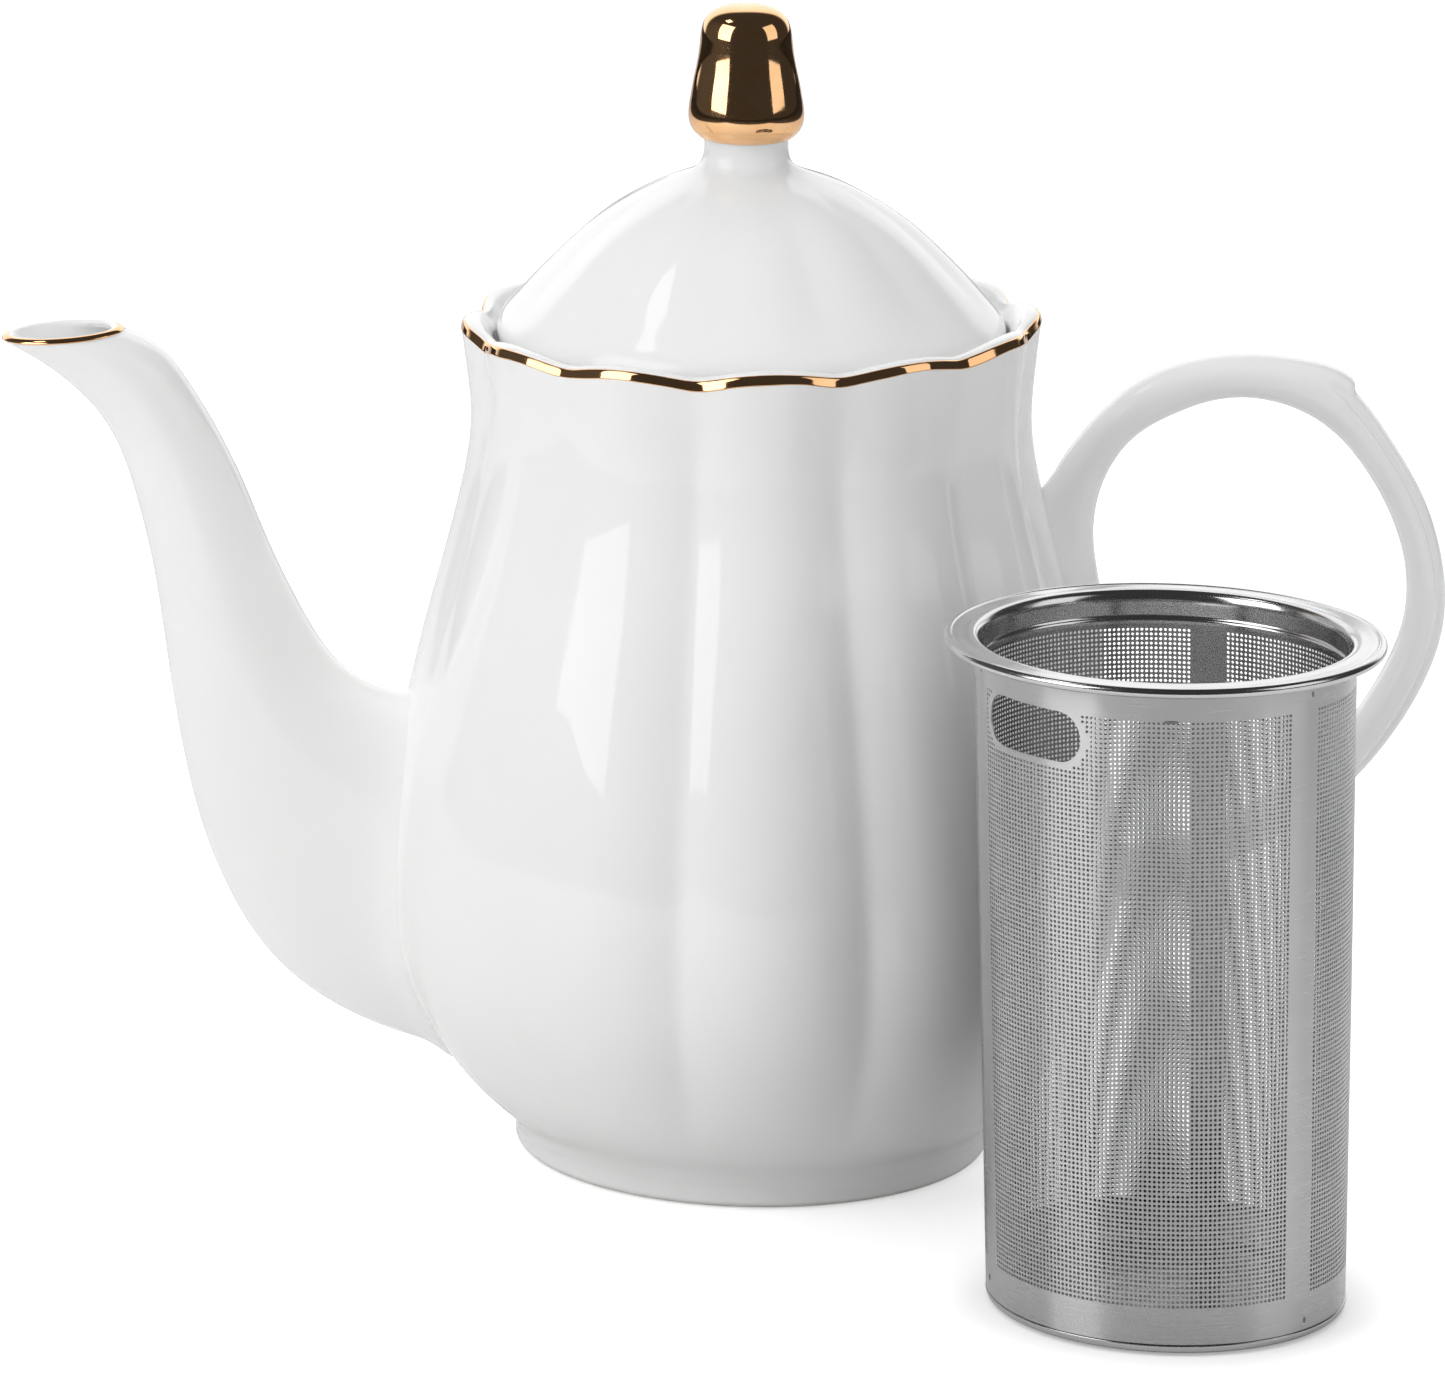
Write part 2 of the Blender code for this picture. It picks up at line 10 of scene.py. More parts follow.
import bpy
import numpy as np
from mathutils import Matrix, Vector


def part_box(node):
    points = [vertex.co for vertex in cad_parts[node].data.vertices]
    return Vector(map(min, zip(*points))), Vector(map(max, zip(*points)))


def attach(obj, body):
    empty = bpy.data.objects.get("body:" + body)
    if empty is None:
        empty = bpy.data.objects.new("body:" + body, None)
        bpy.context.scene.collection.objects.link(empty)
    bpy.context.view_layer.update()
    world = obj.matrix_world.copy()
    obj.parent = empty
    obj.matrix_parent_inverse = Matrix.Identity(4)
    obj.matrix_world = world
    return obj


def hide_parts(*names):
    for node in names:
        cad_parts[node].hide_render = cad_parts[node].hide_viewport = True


MM = 0.001
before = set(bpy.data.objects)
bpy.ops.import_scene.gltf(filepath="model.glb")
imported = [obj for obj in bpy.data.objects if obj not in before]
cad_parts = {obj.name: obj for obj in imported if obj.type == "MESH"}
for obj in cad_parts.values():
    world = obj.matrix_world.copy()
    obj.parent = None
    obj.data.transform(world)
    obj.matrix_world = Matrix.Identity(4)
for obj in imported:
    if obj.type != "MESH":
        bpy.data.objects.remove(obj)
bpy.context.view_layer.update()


def centre_mm(node):
    lo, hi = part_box(node)
    return (lo.x + hi.x) / 2 / MM, (lo.y + hi.y) / 2 / MM


POT = centre_mm("rim_gold_band")          # the pot's and the lid's axis
BASKET = centre_mm("infuser_flange")      # the infuser's axis
RIM_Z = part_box("pot_body")[1].z / MM      # 128.9
KNOB_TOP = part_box("lid_knob")[1].z / MM   # 177.0
BASKET_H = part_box("infuser_flange")[1].z / MM
FLANGE_R = (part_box("infuser_flange")[1].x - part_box("infuser_flange")[0].x) / 2 / MM

LOBES = 12
BODY_LOBE = 1.7
RIM_ARCH = 1.3
CREASE = 0.36                              # how far the crease between two petals is rounded


# ------------------------------------------------------------------ mesh tools
def build(name, verts, faces, material, axis, sharp=None, flat=False):
    """A mesh piece from millimetre points about `axis` (x, y) and arrays of faces."""
    co = np.asarray(verts, float).reshape(-1, 3).copy()
    co[:, 0] += axis[0]
    co[:, 1] += axis[1]
    co *= MM
    loops = np.concatenate([np.asarray(f, np.int32).ravel() for f in faces if len(f)])
    sizes = np.concatenate([np.full(len(f), np.asarray(f).shape[1], np.int32) for f in faces if len(f)])
    starts = np.concatenate([[0], np.cumsum(sizes)[:-1]]).astype(np.int32)
    mesh = bpy.data.meshes.new(name)
    mesh.vertices.add(len(co))
    mesh.vertices.foreach_set("co", co.astype(np.float32).ravel())
    mesh.loops.add(len(loops))
    mesh.loops.foreach_set("vertex_index", loops)
    mesh.polygons.add(len(sizes))
    mesh.polygons.foreach_set("loop_start", starts)
    mesh.update(calc_edges=True)
    mesh.validate()
    if not flat:
        mesh.shade_smooth()
        if sharp is not None:
            mesh.set_sharp_from_angle(angle=math.radians(sharp))
    mesh.materials.append(material)
    obj = bpy.data.objects.new(name, mesh)
    bpy.context.scene.collection.objects.link(obj)
    return obj


def sheet(rings, first_pole=None, last_pole=None, closed=False, flip=False):
    """Quads over a (rows, columns, 3) grid that closes round its columns."""
    rings = np.asarray(rings, float)
    rows, cols = rings.shape[:2]
    verts = rings.reshape(-1, 3)
    i = np.arange(rows if closed else rows - 1)[:, None] * cols
    up = (i + cols) % (rows * cols)
    j = np.arange(cols)[None, :]
    k = (j + 1) % cols
    quads = np.stack([i + j, i + k, up + k, up + j], -1).reshape(-1, 4)
    tris = []
    extra = []
    for pole, base, first in ((first_pole, 0, True), (last_pole, (rows - 1) * cols, False)):
        if pole is None:
            continue
        tip = len(verts) + len(extra)
        extra.append(pole)
        a, b = base + np.arange(cols), base + (np.arange(cols) + 1) % cols
        t = np.full(cols, tip)
        tris.append(np.stack([b, a, t], -1) if first else np.stack([a, b, t], -1))
    if extra:
        verts = np.vstack([verts, np.array(extra, float)])
    faces = [quads] + tris
    if flip:
        faces = [f[:, ::-1] for f in faces]
    return verts, faces


def natural(x, y):
    """Natural cubic spline through (x, y)."""
    x, y = np.asarray(x, float), np.asarray(y, float)
    n, h = len(x), np.diff(x)
    a = np.eye(n)
    rhs = np.zeros((n,) + y.shape[1:])
    for i in range(1, n - 1):
        a[i, i - 1], a[i, i], a[i, i + 1] = h[i - 1], 2 * (h[i - 1] + h[i]), h[i]
        rhs[i] = 6 * ((y[i + 1] - y[i]) / h[i] - (y[i] - y[i - 1]) / h[i - 1])
    m = np.linalg.solve(a, rhs)

    def value(t):
        t = np.asarray(t, float)
        i = np.clip(np.searchsorted(x, t, side="right") - 1, 0, n - 2)
        p, q, s = x[i + 1] - t, t - x[i], h[i]
        if y.ndim == 2:
            p, q, s = p[..., None], q[..., None], s[..., None]
        return ((m[i] * p ** 3 + m[i + 1] * q ** 3) / (6 * s)
                + (y[i] / s - m[i] * s / 6) * p + (y[i + 1] / s - m[i + 1] * s / 6) * q)
    return value


def along(points, count):
    """Evenly spaced points on a smooth curve through `points`."""
    pts = np.asarray(points, float)
    s = np.concatenate([[0], np.cumsum(np.linalg.norm(np.diff(pts[:, :2], axis=0), axis=1))])
    return natural(s, pts)(np.linspace(0, s[-1], count))


def turned(corners, step=0.35, arc=7):
    """A turned outline: (r, z, cut back at the corner), corners rounded, long runs divided."""
    pts = [np.array(corners[0][:2], float)]
    for k in range(1, len(corners) - 1):
        p, c = np.array(corners[k][:2], float), corners[k][2]
        a, b = np.array(corners[k - 1][:2], float), np.array(corners[k + 1][:2], float)
        if c <= 0:
            pts.append(p)
            continue
        da, db = np.linalg.norm(a - p), np.linalg.norm(b - p)
        p0 = p + (a - p) / da * min(c, 0.49 * da)
        p2 = p + (b - p) / db * min(c, 0.49 * db)
        for t in np.linspace(0, 1, arc):
            pts.append(p0 * (1 - t) ** 2 + 2 * p * t * (1 - t) + p2 * t ** 2)
    pts.append(np.array(corners[-1][:2], float))
    out = [pts[0]]
    for a, b in zip(pts, pts[1:]):
        n = max(1, min(24, int(np.linalg.norm(b - a) / step)))
        out += [a + (b - a) * t for t in np.linspace(0, 1, n + 1)[1:]]
    return np.array(out)


def step01(x):
    x = np.clip(x, 0, 1)
    return x * x * (3 - 2 * x)


def petal(n_per_lobe, soft):
    """Angles round a lobed form, and 0 at each crest rising to 1 in each crease."""
    n = LOBES * n_per_lobe
    a = np.arange(n) * 2 * math.pi / n
    half = math.pi / LOBES
    u = np.abs((a / half + 1) % 2 - 1)
    g = 0.5 * (u ** 2 + (2 - u) ** 2 - np.sqrt((4 * (1 - u)) ** 2 + soft ** 2))
    g0 = 0.5 * (4 - math.sqrt(16 + soft ** 2))
    g1 = 0.5 * (2 - soft)
    return a, (g - g0) / (g1 - g0)


def lathe(outline, a, g, depth, arch=None, grow=0.0):
    """Rings of a lobed form. outline is (K, 2); depth and arch are per ring."""
    r, z = outline[:, 0:1], outline[:, 1:2]
    depth = np.broadcast_to(np.asarray(depth, float), (len(outline),))[:, None]
    arch = np.zeros_like(depth) if arch is None else np.asarray(arch, float)[:, None]
    g = np.atleast_2d(g)
    rr = r + grow - depth * g
    zz = z - arch * RIM_ARCH * g
    return np.stack([rr * np.cos(a), rr * np.sin(a), zz + 0 * rr], -1)


def round_lathe(outline, segs, **kw):
    a = np.arange(segs) * 2 * math.pi / segs
    r, z = outline[:, 0:1], outline[:, 1:2]
    rings = np.stack([r * np.cos(a), r * np.sin(a), z + 0 * (r * a)], -1)
    return sheet(rings, **kw)


# --------------------------------------------------------------------- materials
class Nodes:
    def __init__(self, name):
        self.mat = bpy.data.materials.new(name)
        self.mat.use_nodes = True
        self.tree = self.mat.node_tree
        self.shader = self.tree.nodes["Principled BSDF"]
        self.coords = self.tree.nodes.new("ShaderNodeTexCoord").outputs["Object"]

    def add(self, kind, inputs=None, **props):
        node = self.tree.nodes.new(kind)
        for key, value in props.items():
            setattr(node, key, value)
        for key, value in (inputs or {}).items():
            if isinstance(value, bpy.types.NodeSocket):
                self.tree.links.new(value, node.inputs[key])
            else:
                node.inputs[key].default_value = value
        return node

    def link(self, socket, to, node=None):
        self.tree.links.new(socket, (node or self.shader).inputs[to])

    def scaled(self, scale):
        return self.add("ShaderNodeMapping", {"Vector": self.coords, "Scale": scale}).outputs["Vector"]

    def noise(self, scale, detail=3.0, rough=0.5, vector=None):
        return self.add("ShaderNodeTexNoise", {
            "Vector": vector or self.coords, "Scale": scale, "Detail": detail, "Roughness": rough}).outputs["Fac"]

    def ramp(self, fac, lo, hi, a=0.0, b=1.0):
        return self.add("ShaderNodeMapRange", {
            "Value": fac, "From Min": lo, "From Max": hi, "To Min": a, "To Max": b}).outputs["Result"]

    def math(self, op, a, b=0.0):
        return self.add("ShaderNodeMath", {0: a, 1: b}, operation=op).outputs[0]

    def mix(self, fac, a, b):
        node = self.add("ShaderNodeMix", data_type="RGBA")
        for key, value in ((0, fac), (6, a), (7, b)):
            if isinstance(value, bpy.types.NodeSocket):
                self.tree.links.new(value, node.inputs[key])
            else:
                node.inputs[key].default_value = value
        return node.outputs[2]

    def bump(self, height, strength, distance, below=None):
        inputs = {"Height": height, "Strength": strength, "Distance": distance}
        if below is not None:
            inputs["Normal"] = below
        return self.add("ShaderNodeBump", inputs).outputs["Normal"]


def porcelain(name, bare_foot=False):
    n = Nodes(name)
    tint = n.ramp(n.noise(38, 2), 0.3, 0.7)
    colour = n.mix(tint, (0.845, 0.846, 0.842, 1), (0.865, 0.866, 0.863, 1))
    rough = n.ramp(n.noise(160, 3), 0.35, 0.7, 0.015, 0.04)
    waves = n.bump(n.noise(26, 1.5, 0.4), 0.55, 0.00045)          # slow waves of the glaze
    peel = n.bump(n.noise(420, 1), 0.10, 0.00004, waves)          # its fine orange peel
    pits = n.add("ShaderNodeTexVoronoi", {"Vector": n.coords, "Scale": 130.0, "Randomness": 1.0})
    pit = n.ramp(pits.outputs["Distance"], 0.0, 0.045, 1.0, 0.0)
    pick = n.math("GREATER_THAN", n.noise(60, 0), 0.62)
    pit = n.math("MULTIPLY", pit, pick)
    normal = n.bump(n.math("MULTIPLY", pit, -1.0), 0.35, 0.0001, peel)
    if bare_foot:
        # the foot ring is wiped clean of glaze where it stands
        height = n.add("ShaderNodeSeparateXYZ", {0: n.coords}).outputs["Z"]
        edge = n.math("ADD", height, n.ramp(n.noise(300, 2), 0.3, 0.7, -0.0001, 0.0001))
        bare = n.ramp(edge, 0.00045, 0.0007, 1.0, 0.0)
        colour = n.mix(bare, colour, n.mix(n.noise(1500, 2), (0.70, 0.69, 0.66, 1), (0.80, 0.79, 0.76, 1)))
        rough = n.math("MAXIMUM", rough, n.math("MULTIPLY", bare, 0.75))
    n.link(colour, "Base Color")
    n.link(rough, "Roughness")
    n.link(normal, "Normal")
    n.shader.inputs["IOR"].default_value = 1.52
    n.shader.inputs["Specular IOR Level"].default_value = 0.34
    return n.mat


def gold_lustre(name, scale=1.0):
    n = Nodes(name)
    tint = n.ramp(n.noise(210 * scale, 4, 0.6), 0.32, 0.7)
    colour = n.mix(tint, (0.92, 0.52, 0.25, 1), (0.97, 0.60, 0.32, 1))
    streak = n.noise(90, 3, 0.6, n.scaled((1, 1, 9)))
    rough = n.ramp(streak, 0.3, 0.75, 0.035, 0.11)
    waves = n.bump(n.noise(150 * scale, 2), 0.35, 0.00012)
    normal = n.bump(n.noise(1400, 2), 0.07, 0.00002, waves)
    n.link(colour, "Base Color")
    n.link(rough, "Roughness")
    n.link(normal, "Normal")
    n.shader.inputs["Metallic"].default_value = 1.0
    return n.mat


def steel(name, low, high, base, lines, line_strength, brushed=0.0):
    """Stainless steel: lines is the stretch of its grain, in x, y and z."""
    n = Nodes(name)
    grain = n.noise(260, 5, 0.65, n.scaled(lines))
    cloud = n.noise(55, 4, 0.6)
    smear = n.noise(22, 3, 0.7, n.scaled((1, 1, 0.35)))
    colour = n.mix(n.ramp(cloud, 0.3, 0.7), tuple(c * 0.93 for c in base) + (1,), tuple(base) + (1,))
    rough = n.math("ADD", n.ramp(grain, 0.3, 0.7, low, high), n.ramp(smear, 0.45, 0.75, 0.0, 0.07))
    scratch = n.bump(n.noise(260, 1.5, 0.5, n.scaled(lines)), line_strength, 0.00003)
    dents = n.bump(n.noise(48, 2), 0.35, 0.0002, scratch)
    n.link(colour, "Base Color")
    n.link(rough, "Roughness")
    n.link(dents, "Normal")
    n.shader.inputs["Metallic"].default_value = 1.0
    if brushed:
        # the brush ran round the tube, so reflections spread up and down it
        round_z = n.add("ShaderNodeTangent", direction_type="RADIAL", axis="Z").outputs["Tangent"]
        n.link(round_z, "Tangent")
        n.shader.inputs["Anisotropic"].default_value = brushed
        n.shader.inputs["Anisotropic Rotation"].default_value = 0.25
    return n.mat


GLAZE = porcelain("glazed porcelain")
GLAZE_FOOT = porcelain("glazed porcelain, bare foot", bare_foot=True)
LUSTRE = gold_lustre("gold lustre")
FLANGE_STEEL = steel("polished steel", 0.10, 0.19, (0.66, 0.66, 0.665), (1, 1, 6), 0.07)
WALL_STEEL = steel("etched steel sheet", 0.25, 0.29, (0.64, 0.64, 0.645), (0.4, 0.4, 9), 0.04, brushed=1.0)
# the sheet's inner face is the same steel as outside; its darker base colour is painted shade for the inside of the
# basket
INSIDE_STEEL_PAINTED_SHADE = steel("etched steel sheet, inside, painted shade", 0.16, 0.22, (0.46, 0.46, 0.46), (0.4, 0.4, 5), 0.04)
BASE_STEEL = steel("pressed steel", 0.14, 0.24, (0.63, 0.63, 0.635), (1, 1, 14), 0.14)


# ---------------------------------------------------------------------- pot body
WALL_R = natural(
    [2.6, 5.2, 8.0, 12.0, 18.0, 24.0, 30.5, 37.0, 43.0, 52.0, 62.0, 72.0, 82.0, 91.0, 99.5, 107.0, 113.0, 119.0, 127.2],
    [36.8, 38.2, 41.3, 45.5, 50.0, 53.6, 56.2, 57.35, 57.55, 56.9, 55.35, 53.1, 50.6, 48.1, 45.9, 44.35, 43.85, 44.3, 45.35])


def body_depth(z):
    fuller = 0.28 * step01((z - 22.0) / 22.0) * step01((120.0 - z) / 24.0)
    return BODY_LOBE * step01((z - 5.0) / 20.0) * (1 + fuller)


def calm(a, z):
    """The petals beside the spout are shallower, except at the rim."""
    from_spout = np.degrees(np.abs(np.abs((a + math.pi) % (2 * math.pi) - math.pi) - math.pi))
    return 1 - 0.72 * step01((61.0 - from_spout) / 16.0) * step01((122.0 - z) / 15.0)


def skin_radius(x, y, z):
    """The body's outer radius at these points' angle and height."""
    a = np.arctan2(y, x)
    half = math.pi / LOBES
    u = np.abs((a / half + 1) % 2 - 1)
    soft = CREASE
    g = 0.5 * (u ** 2 + (2 - u) ** 2 - np.sqrt((4 * (1 - u)) ** 2 + soft ** 2))
    g0, g1 = 0.5 * (4 - math.sqrt(16 + soft ** 2)), 0.5 * (2 - soft)
    zc = np.clip(z, 2.6, 127.2)
    return WALL_R(zc) - body_depth(zc) * calm(a, zc) * (g - g0) / (g1 - g0)


# the rim's outer edge leans back a little above the painted line's lower side
RIM_EDGE = [(45.34, RIM_Z - 1.62, 0.22), (45.02, RIM_Z - 0.62, 0.3), (44.55, RIM_Z - 0.1, 0.35), (43.9, RIM_Z, 0.3)]


def rim_wave(x, y, z):
    """The fired rim isn't quite level: its height at each point, fading out below it."""
    a = np.arctan2(x, -y)
    dz = 0.72 * np.sin(a) + 0.22 * np.sin(2 * a) + 0.12 * np.cos(a)
    return dz * step01((z - 112.0) / 14.0)


def make_body():
    a, sharp = petal(44, CREASE)
    soft = petal(44, 0.95)[1]
    under = turned([(3.0, 4.8, 0), (26, 4.7, 3), (31.3, 4.2, 1.6), (32.7, 0.9, 0.8), (33.4, 0.0, 0.5),
                    (36.1, 0.0, 0.4), (36.78, 0.7, 0.45), (36.8, 2.6, 0)], step=0.8)
    z = np.linspace(2.6, RIM_Z - 1.85, 190)[1:]
    wall = np.stack([WALL_R(z), z], -1)
    lip = turned([(wall[-1, 0], wall[-1, 1], 0)] + RIM_EDGE + [(42.7, RIM_Z - 0.05, 0.8),
                  (41.1, RIM_Z - 1.8, 1.1), (40.3, 125.9, 0.5), (40.1, 122.4, 0.6), (39.4, 121.4, 0.5), (33.2, 121.4, 0.3), (33.2, 119.7, 0.3),
                  (30.0, 119.7, 0.4), (29.6, 119.2, 0.3), (29.6, 117.3, 0.6), (33.5, 115.0, 2), (39.2, 109.5, 0)], step=0.7)[1:]
    zi = np.linspace(109.5, 12.0, 90)
    inner = np.stack([WALL_R(zi) - 4.0 - 1.1 * step01((zi - 84) / 25.0), zi], -1)[1:]
    floor = along([(inner[-1, 0], 12.0), (36.5, 9.9), (26.0, 8.9), (3.0, 8.6)], 16)[1:]
    outline = np.vstack([under, wall, lip, inner, floor])
    n_out = len(under) + len(wall)
    depth = np.zeros(len(outline))
    arch = np.zeros(len(outline))
    depth[:n_out] = body_depth(outline[:n_out, 1])
    arch[:n_out] = step01((outline[:n_out, 1] - 118.5) / 6.5)
    k = slice(n_out, n_out + len(lip))
    depth[k] = BODY_LOBE * step01((lip[:, 0] - 41.2) / 3.0)
    arch[k] = step01((lip[:, 1] - 122.4) / 4.2)
    blend = step01((outline[:, 1] - 108.0) / 14.0)[:, None]       # the creases open out towards the rim
    shape = sharp * (1 - blend) + soft * blend
    shape[:n_out] *= calm(a[None, :], outline[:n_out, 1:2])
    rings = lathe(outline, a, shape, depth, arch)
    rise = rim_wave(rings[..., 0], rings[..., 1], rings[..., 2])
    rise[k] *= step01((lip[:, 1] - 122.4) / 4.2)[:, None]
    rise[n_out + len(lip):] = 0
    rings[..., 2] += rise
    verts, faces = sheet(rings, (0, 0, 4.8), (0, 0, 8.6))
    body = build("pot_body_shell", verts, faces, GLAZE_FOOT, POT)
    # strainer holes behind the spout
    w = np.arange(28) * 2 * math.pi / 28
    cv, cf = [], []
    for i in range(7):
        ang = math.radians(60 * i)
        ring = 0.0 if i == 6 else 6.6
        cy, cz = ring * math.sin(ang) * 0.8, 45.0 + ring * math.cos(ang) * 1.35
        rings = [np.stack([np.full(28, x), cy + r * np.cos(w), cz + r * np.sin(w)], -1)
                 for x, r in ((-66.0, 2.1), (-44.0, 2.1))]
        v, f = sheet(rings, (-66.0, cy, cz), (-44.0, cy, cz))
        cf += [q + sum(len(p) for p in cv) for q in f]
        cv.append(v)
    cutter = build("strainer_cutter", np.vstack(cv), cf, GLAZE, POT)
    pierce(body, cutter)
    return body


def volume_sign(mesh):
    co = np.empty(len(mesh.vertices) * 3, np.float32)
    mesh.vertices.foreach_get("co", co)
    co = co.reshape(-1, 3)
    mesh.calc_loop_triangles()
    tri = np.empty(len(mesh.loop_triangles) * 3, np.int32)
    mesh.loop_triangles.foreach_get("vertices", tri)
    p = co[tri.reshape(-1, 3)]
    return float(np.einsum("ij,ij->i", p[:, 0], np.cross(p[:, 1], p[:, 2])).sum())


def pierce(obj, cutter):
    """Cuts `cutter` out of `obj` and removes the cutter."""
    for o in (obj, cutter):
        if volume_sign(o.data) < 0:
            o.data.flip_normals()
    cutter.hide_render = True
    mod = obj.modifiers.new("cut", "BOOLEAN")
    mod.operation = "DIFFERENCE"
    mod.solver = "MANIFOLD"
    mod.object = cutter
    bpy.context.view_layer.update()
    out = bpy.data.meshes.new_from_object(obj.evaluated_get(bpy.context.evaluated_depsgraph_get()))
    obj.modifiers.clear()
    if len(out.vertices) > 100:
        obj.data = out
        obj.data.shade_smooth()
        obj.data.set_sharp_from_angle(angle=math.radians(45))
    bpy.data.objects.remove(cutter)


def make_rim_gilding():
    """A painted film round the rim's outer edge, a tenth of a millimetre proud."""
    a, g = petal(44, 0.95)
    wave = 0.10 * np.sin(5 * a + 0.7) + 0.07 * np.sin(13 * a + 2.1) + 0.05 * np.sin(29 * a)
    top = turned([(45.36, RIM_Z - 1.72, 0)] + RIM_EDGE[:2] + [(44.78, RIM_Z - 0.35, 0)], step=0.1, arc=9)
    d = np.diff(top, axis=0)
    d = np.vstack([d, d[-1:]])
    normal = np.stack([d[:, 1], -d[:, 0]], -1) / np.linalg.norm(d, axis=1)[:, None]
    s = np.linspace(0, 1, len(top))
    film = 0.11 * np.sqrt(np.clip(1 - (2 * s - 1) ** 6, 0, 1)) - 0.01
    outer = top + normal * film[:, None]
    inner = (top - normal * 0.12)[::-1]
    outline = np.vstack([outer, inner])
    rings = lathe(outline, a, g, BODY_LOBE, np.ones(len(outline)))
    # the brushed lower edge wanders a little
    low = np.clip(1 - (outline[:, 1] - RIM_Z + 1.72) / 0.9, 0, 1)
    rings[:, :, 2] += low[:, None] * (wave[None, :] - 0.08)
    rings[..., 2] += rim_wave(rings[..., 0], rings[..., 1], rings[..., 2] + 5.0)
    verts, faces = sheet(rings, closed=True)
    return build("rim_gilding", verts, faces, LUSTRE, POT)


# ------------------------------------------------------------------------- spout
SPOUT = np.array([
    (-117.2, 124.8, -98.2, 126.2, 7.8), (-109.2, 120.0, -92.4, 123.1, 7.7),
    (-102.3, 113.6, -88.1, 118.0, 7.6), (-98.2, 106.3, -83.9, 111.2, 7.6),
    (-95.6, 98.0, -79.5, 102.5, 7.8), (-93.5, 89.0, -75.5, 93.0, 8.3),
    (-91.9, 79.0, -70.8, 83.4, 8.9), (-90.3, 68.5, -65.0, 74.6, 9.6),
    (-87.6, 55.0, -57.5, 70.2, 10.3), (-83.0, 41.5, -49.5, 68.0, 10.8),
    (-74.2, 27.8, -45.5, 63.5, 11.0), (-60.5, 18.6, -43.5, 56.0, 10.8),
    (-46.0, 14.0, -42.0, 48.0, 10.0)])
SPOUT_AT = natural(np.arange(len(SPOUT)), SPOUT)


def spout_ring(t, w, shrink=0.0, lift=0.0):
    lx, lz, ux, uz, b = SPOUT_AT(t * (len(SPOUT) - 1))
    cx, cz, hx, hz = (lx + ux) / 2, (lz + uz) / 2, (ux - lx) / 2, (uz - lz) / 2
    size = math.hypot(hx, hz)
    k = (size - shrink) / size
    nx, nz = -hz / size, hx / size
    return np.stack([cx + np.cos(w) * hx * k + nx * lift, np.sin(w) * (b - shrink),
                     cz + np.cos(w) * hz * k + nz * lift], -1)


def flare(rings, reach, height):
    """Pushes a tube's skin outwards where it meets the body, like slip in the joint."""
    mid = rings.mean(axis=1, keepdims=True)
    s = np.hypot(rings[..., 0], rings[..., 1]) - skin_radius(rings[..., 0], rings[..., 1], rings[..., 2])
    away = rings - mid
    away /= np.linalg.norm(away, axis=-1, keepdims=True)
    f = height * np.clip(1 - np.maximum(s, -0.6) / reach, 0, 1.6) ** 2
    return rings + away * f[..., None]


def make_spout():
    w = np.arange(96) * 2 * math.pi / 96
    ts = np.linspace(0, 1, 220)
    outer = np.array([spout_ring(t, w) for t in ts[2:]])
    outer = flare(outer, 4.2, 1.2)
    lip = np.array([spout_ring(0.004, w, 0.0, -0.1), spout_ring(0, w, 0.12, 0.30), spout_ring(0, w, 0.4, 0.55),
                    spout_ring(0, w, 0.8, 0.68), spout_ring(0, w, 1.2, 0.68), spout_ring(0, w, 1.6, 0.55),
                    spout_ring(0, w, 1.88, 0.28), spout_ring(0.004, w, 2.0, -0.1)])
    bore = np.array([spout_ring(t, w, 2.0 + 0.9 * min(1.0, 2 * t)) for t in np.linspace(0.012, 0.93, 120)])
    rings = np.vstack([outer[::-1], lip, bore])
    keep = rings
    verts, faces = sheet(keep, closed=True, flip=True)
    obj = build("spout_shell", verts, faces, GLAZE, POT)
    # the bore opens on the body's wall: the tube stops inside it
    core_a, core_g = petal(16, CREASE)
    z = np.linspace(6.0, 120.0, 60)
    core = lathe(np.stack([WALL_R(z) - 1.2, z], -1), core_a, core_g, body_depth(z))
    v, f = sheet(core, (0, 0, 6.0), (0, 0, 120.0))
    pierce(obj, build("spout_core", v, f, GLAZE, POT))
    return obj


def make_spout_gilding():
    """Gold on the lip's outer edge, broad in front and running out behind."""
    w = np.arange(160) * 2 * math.pi / 160
    # w = 0 is the upper end, pi the lower end; -pi/2 faces the camera
    front = 0.5 - 0.5 * np.sin(w)
    share = 0.35 + 0.65 * step01(front * 1.6)
    shown = step01((front - 0.33) / 0.12)
    path = np.array([(0.0, -0.06), (0.0, 0.06), (0.04, 0.16), (0.13, 0.30), (0.40, 0.55), (0.80, 0.68), (1.15, 0.68)])
    rows = []
    for k, (shrink, lift) in enumerate(path):
        s = k / (len(path) - 1)
        out = (shown * (0.14 if 0 < k < len(path) - 1 else 0.03) - 0.05)[:, None]
        low = (1 - s) ** 1.2
        ring = spout_ring(0, w, shrink, 0.0)
        lifted = spout_ring(0, w, shrink, 1.0) - ring
        away = spout_ring(0, w, shrink - 1.0, 0.0) - ring
        lift_w = lift * (share if lift < 0 else 1.0)
        slope = (spout_ring(0.012, w) - spout_ring(0, w))
        slope /= np.linalg.norm(slope, axis=1, keepdims=True)
        rows.append(ring + (lifted * np.maximum(lift_w, 0)[..., None] if np.ndim(lift_w) else lifted * max(lift, 0))
                    + (slope * np.maximum(-lift_w, 0)[..., None] if np.ndim(lift_w) else 0)
                    + away * out * (1 - 0.4 * s) + lifted * out * s + 0 * low)
    back = []
    for shrink, lift in ((0.9, 0.35), (0.35, -0.05)):
        ring = spout_ring(0, w, shrink, 0.0)
        back.append(ring + (spout_ring(0, w, shrink, 1.0) - ring) * lift)
    verts, faces = sheet(np.array(rows + back), closed=True)
    return build("spout_gilding", verts, faces, LUSTRE, POT)


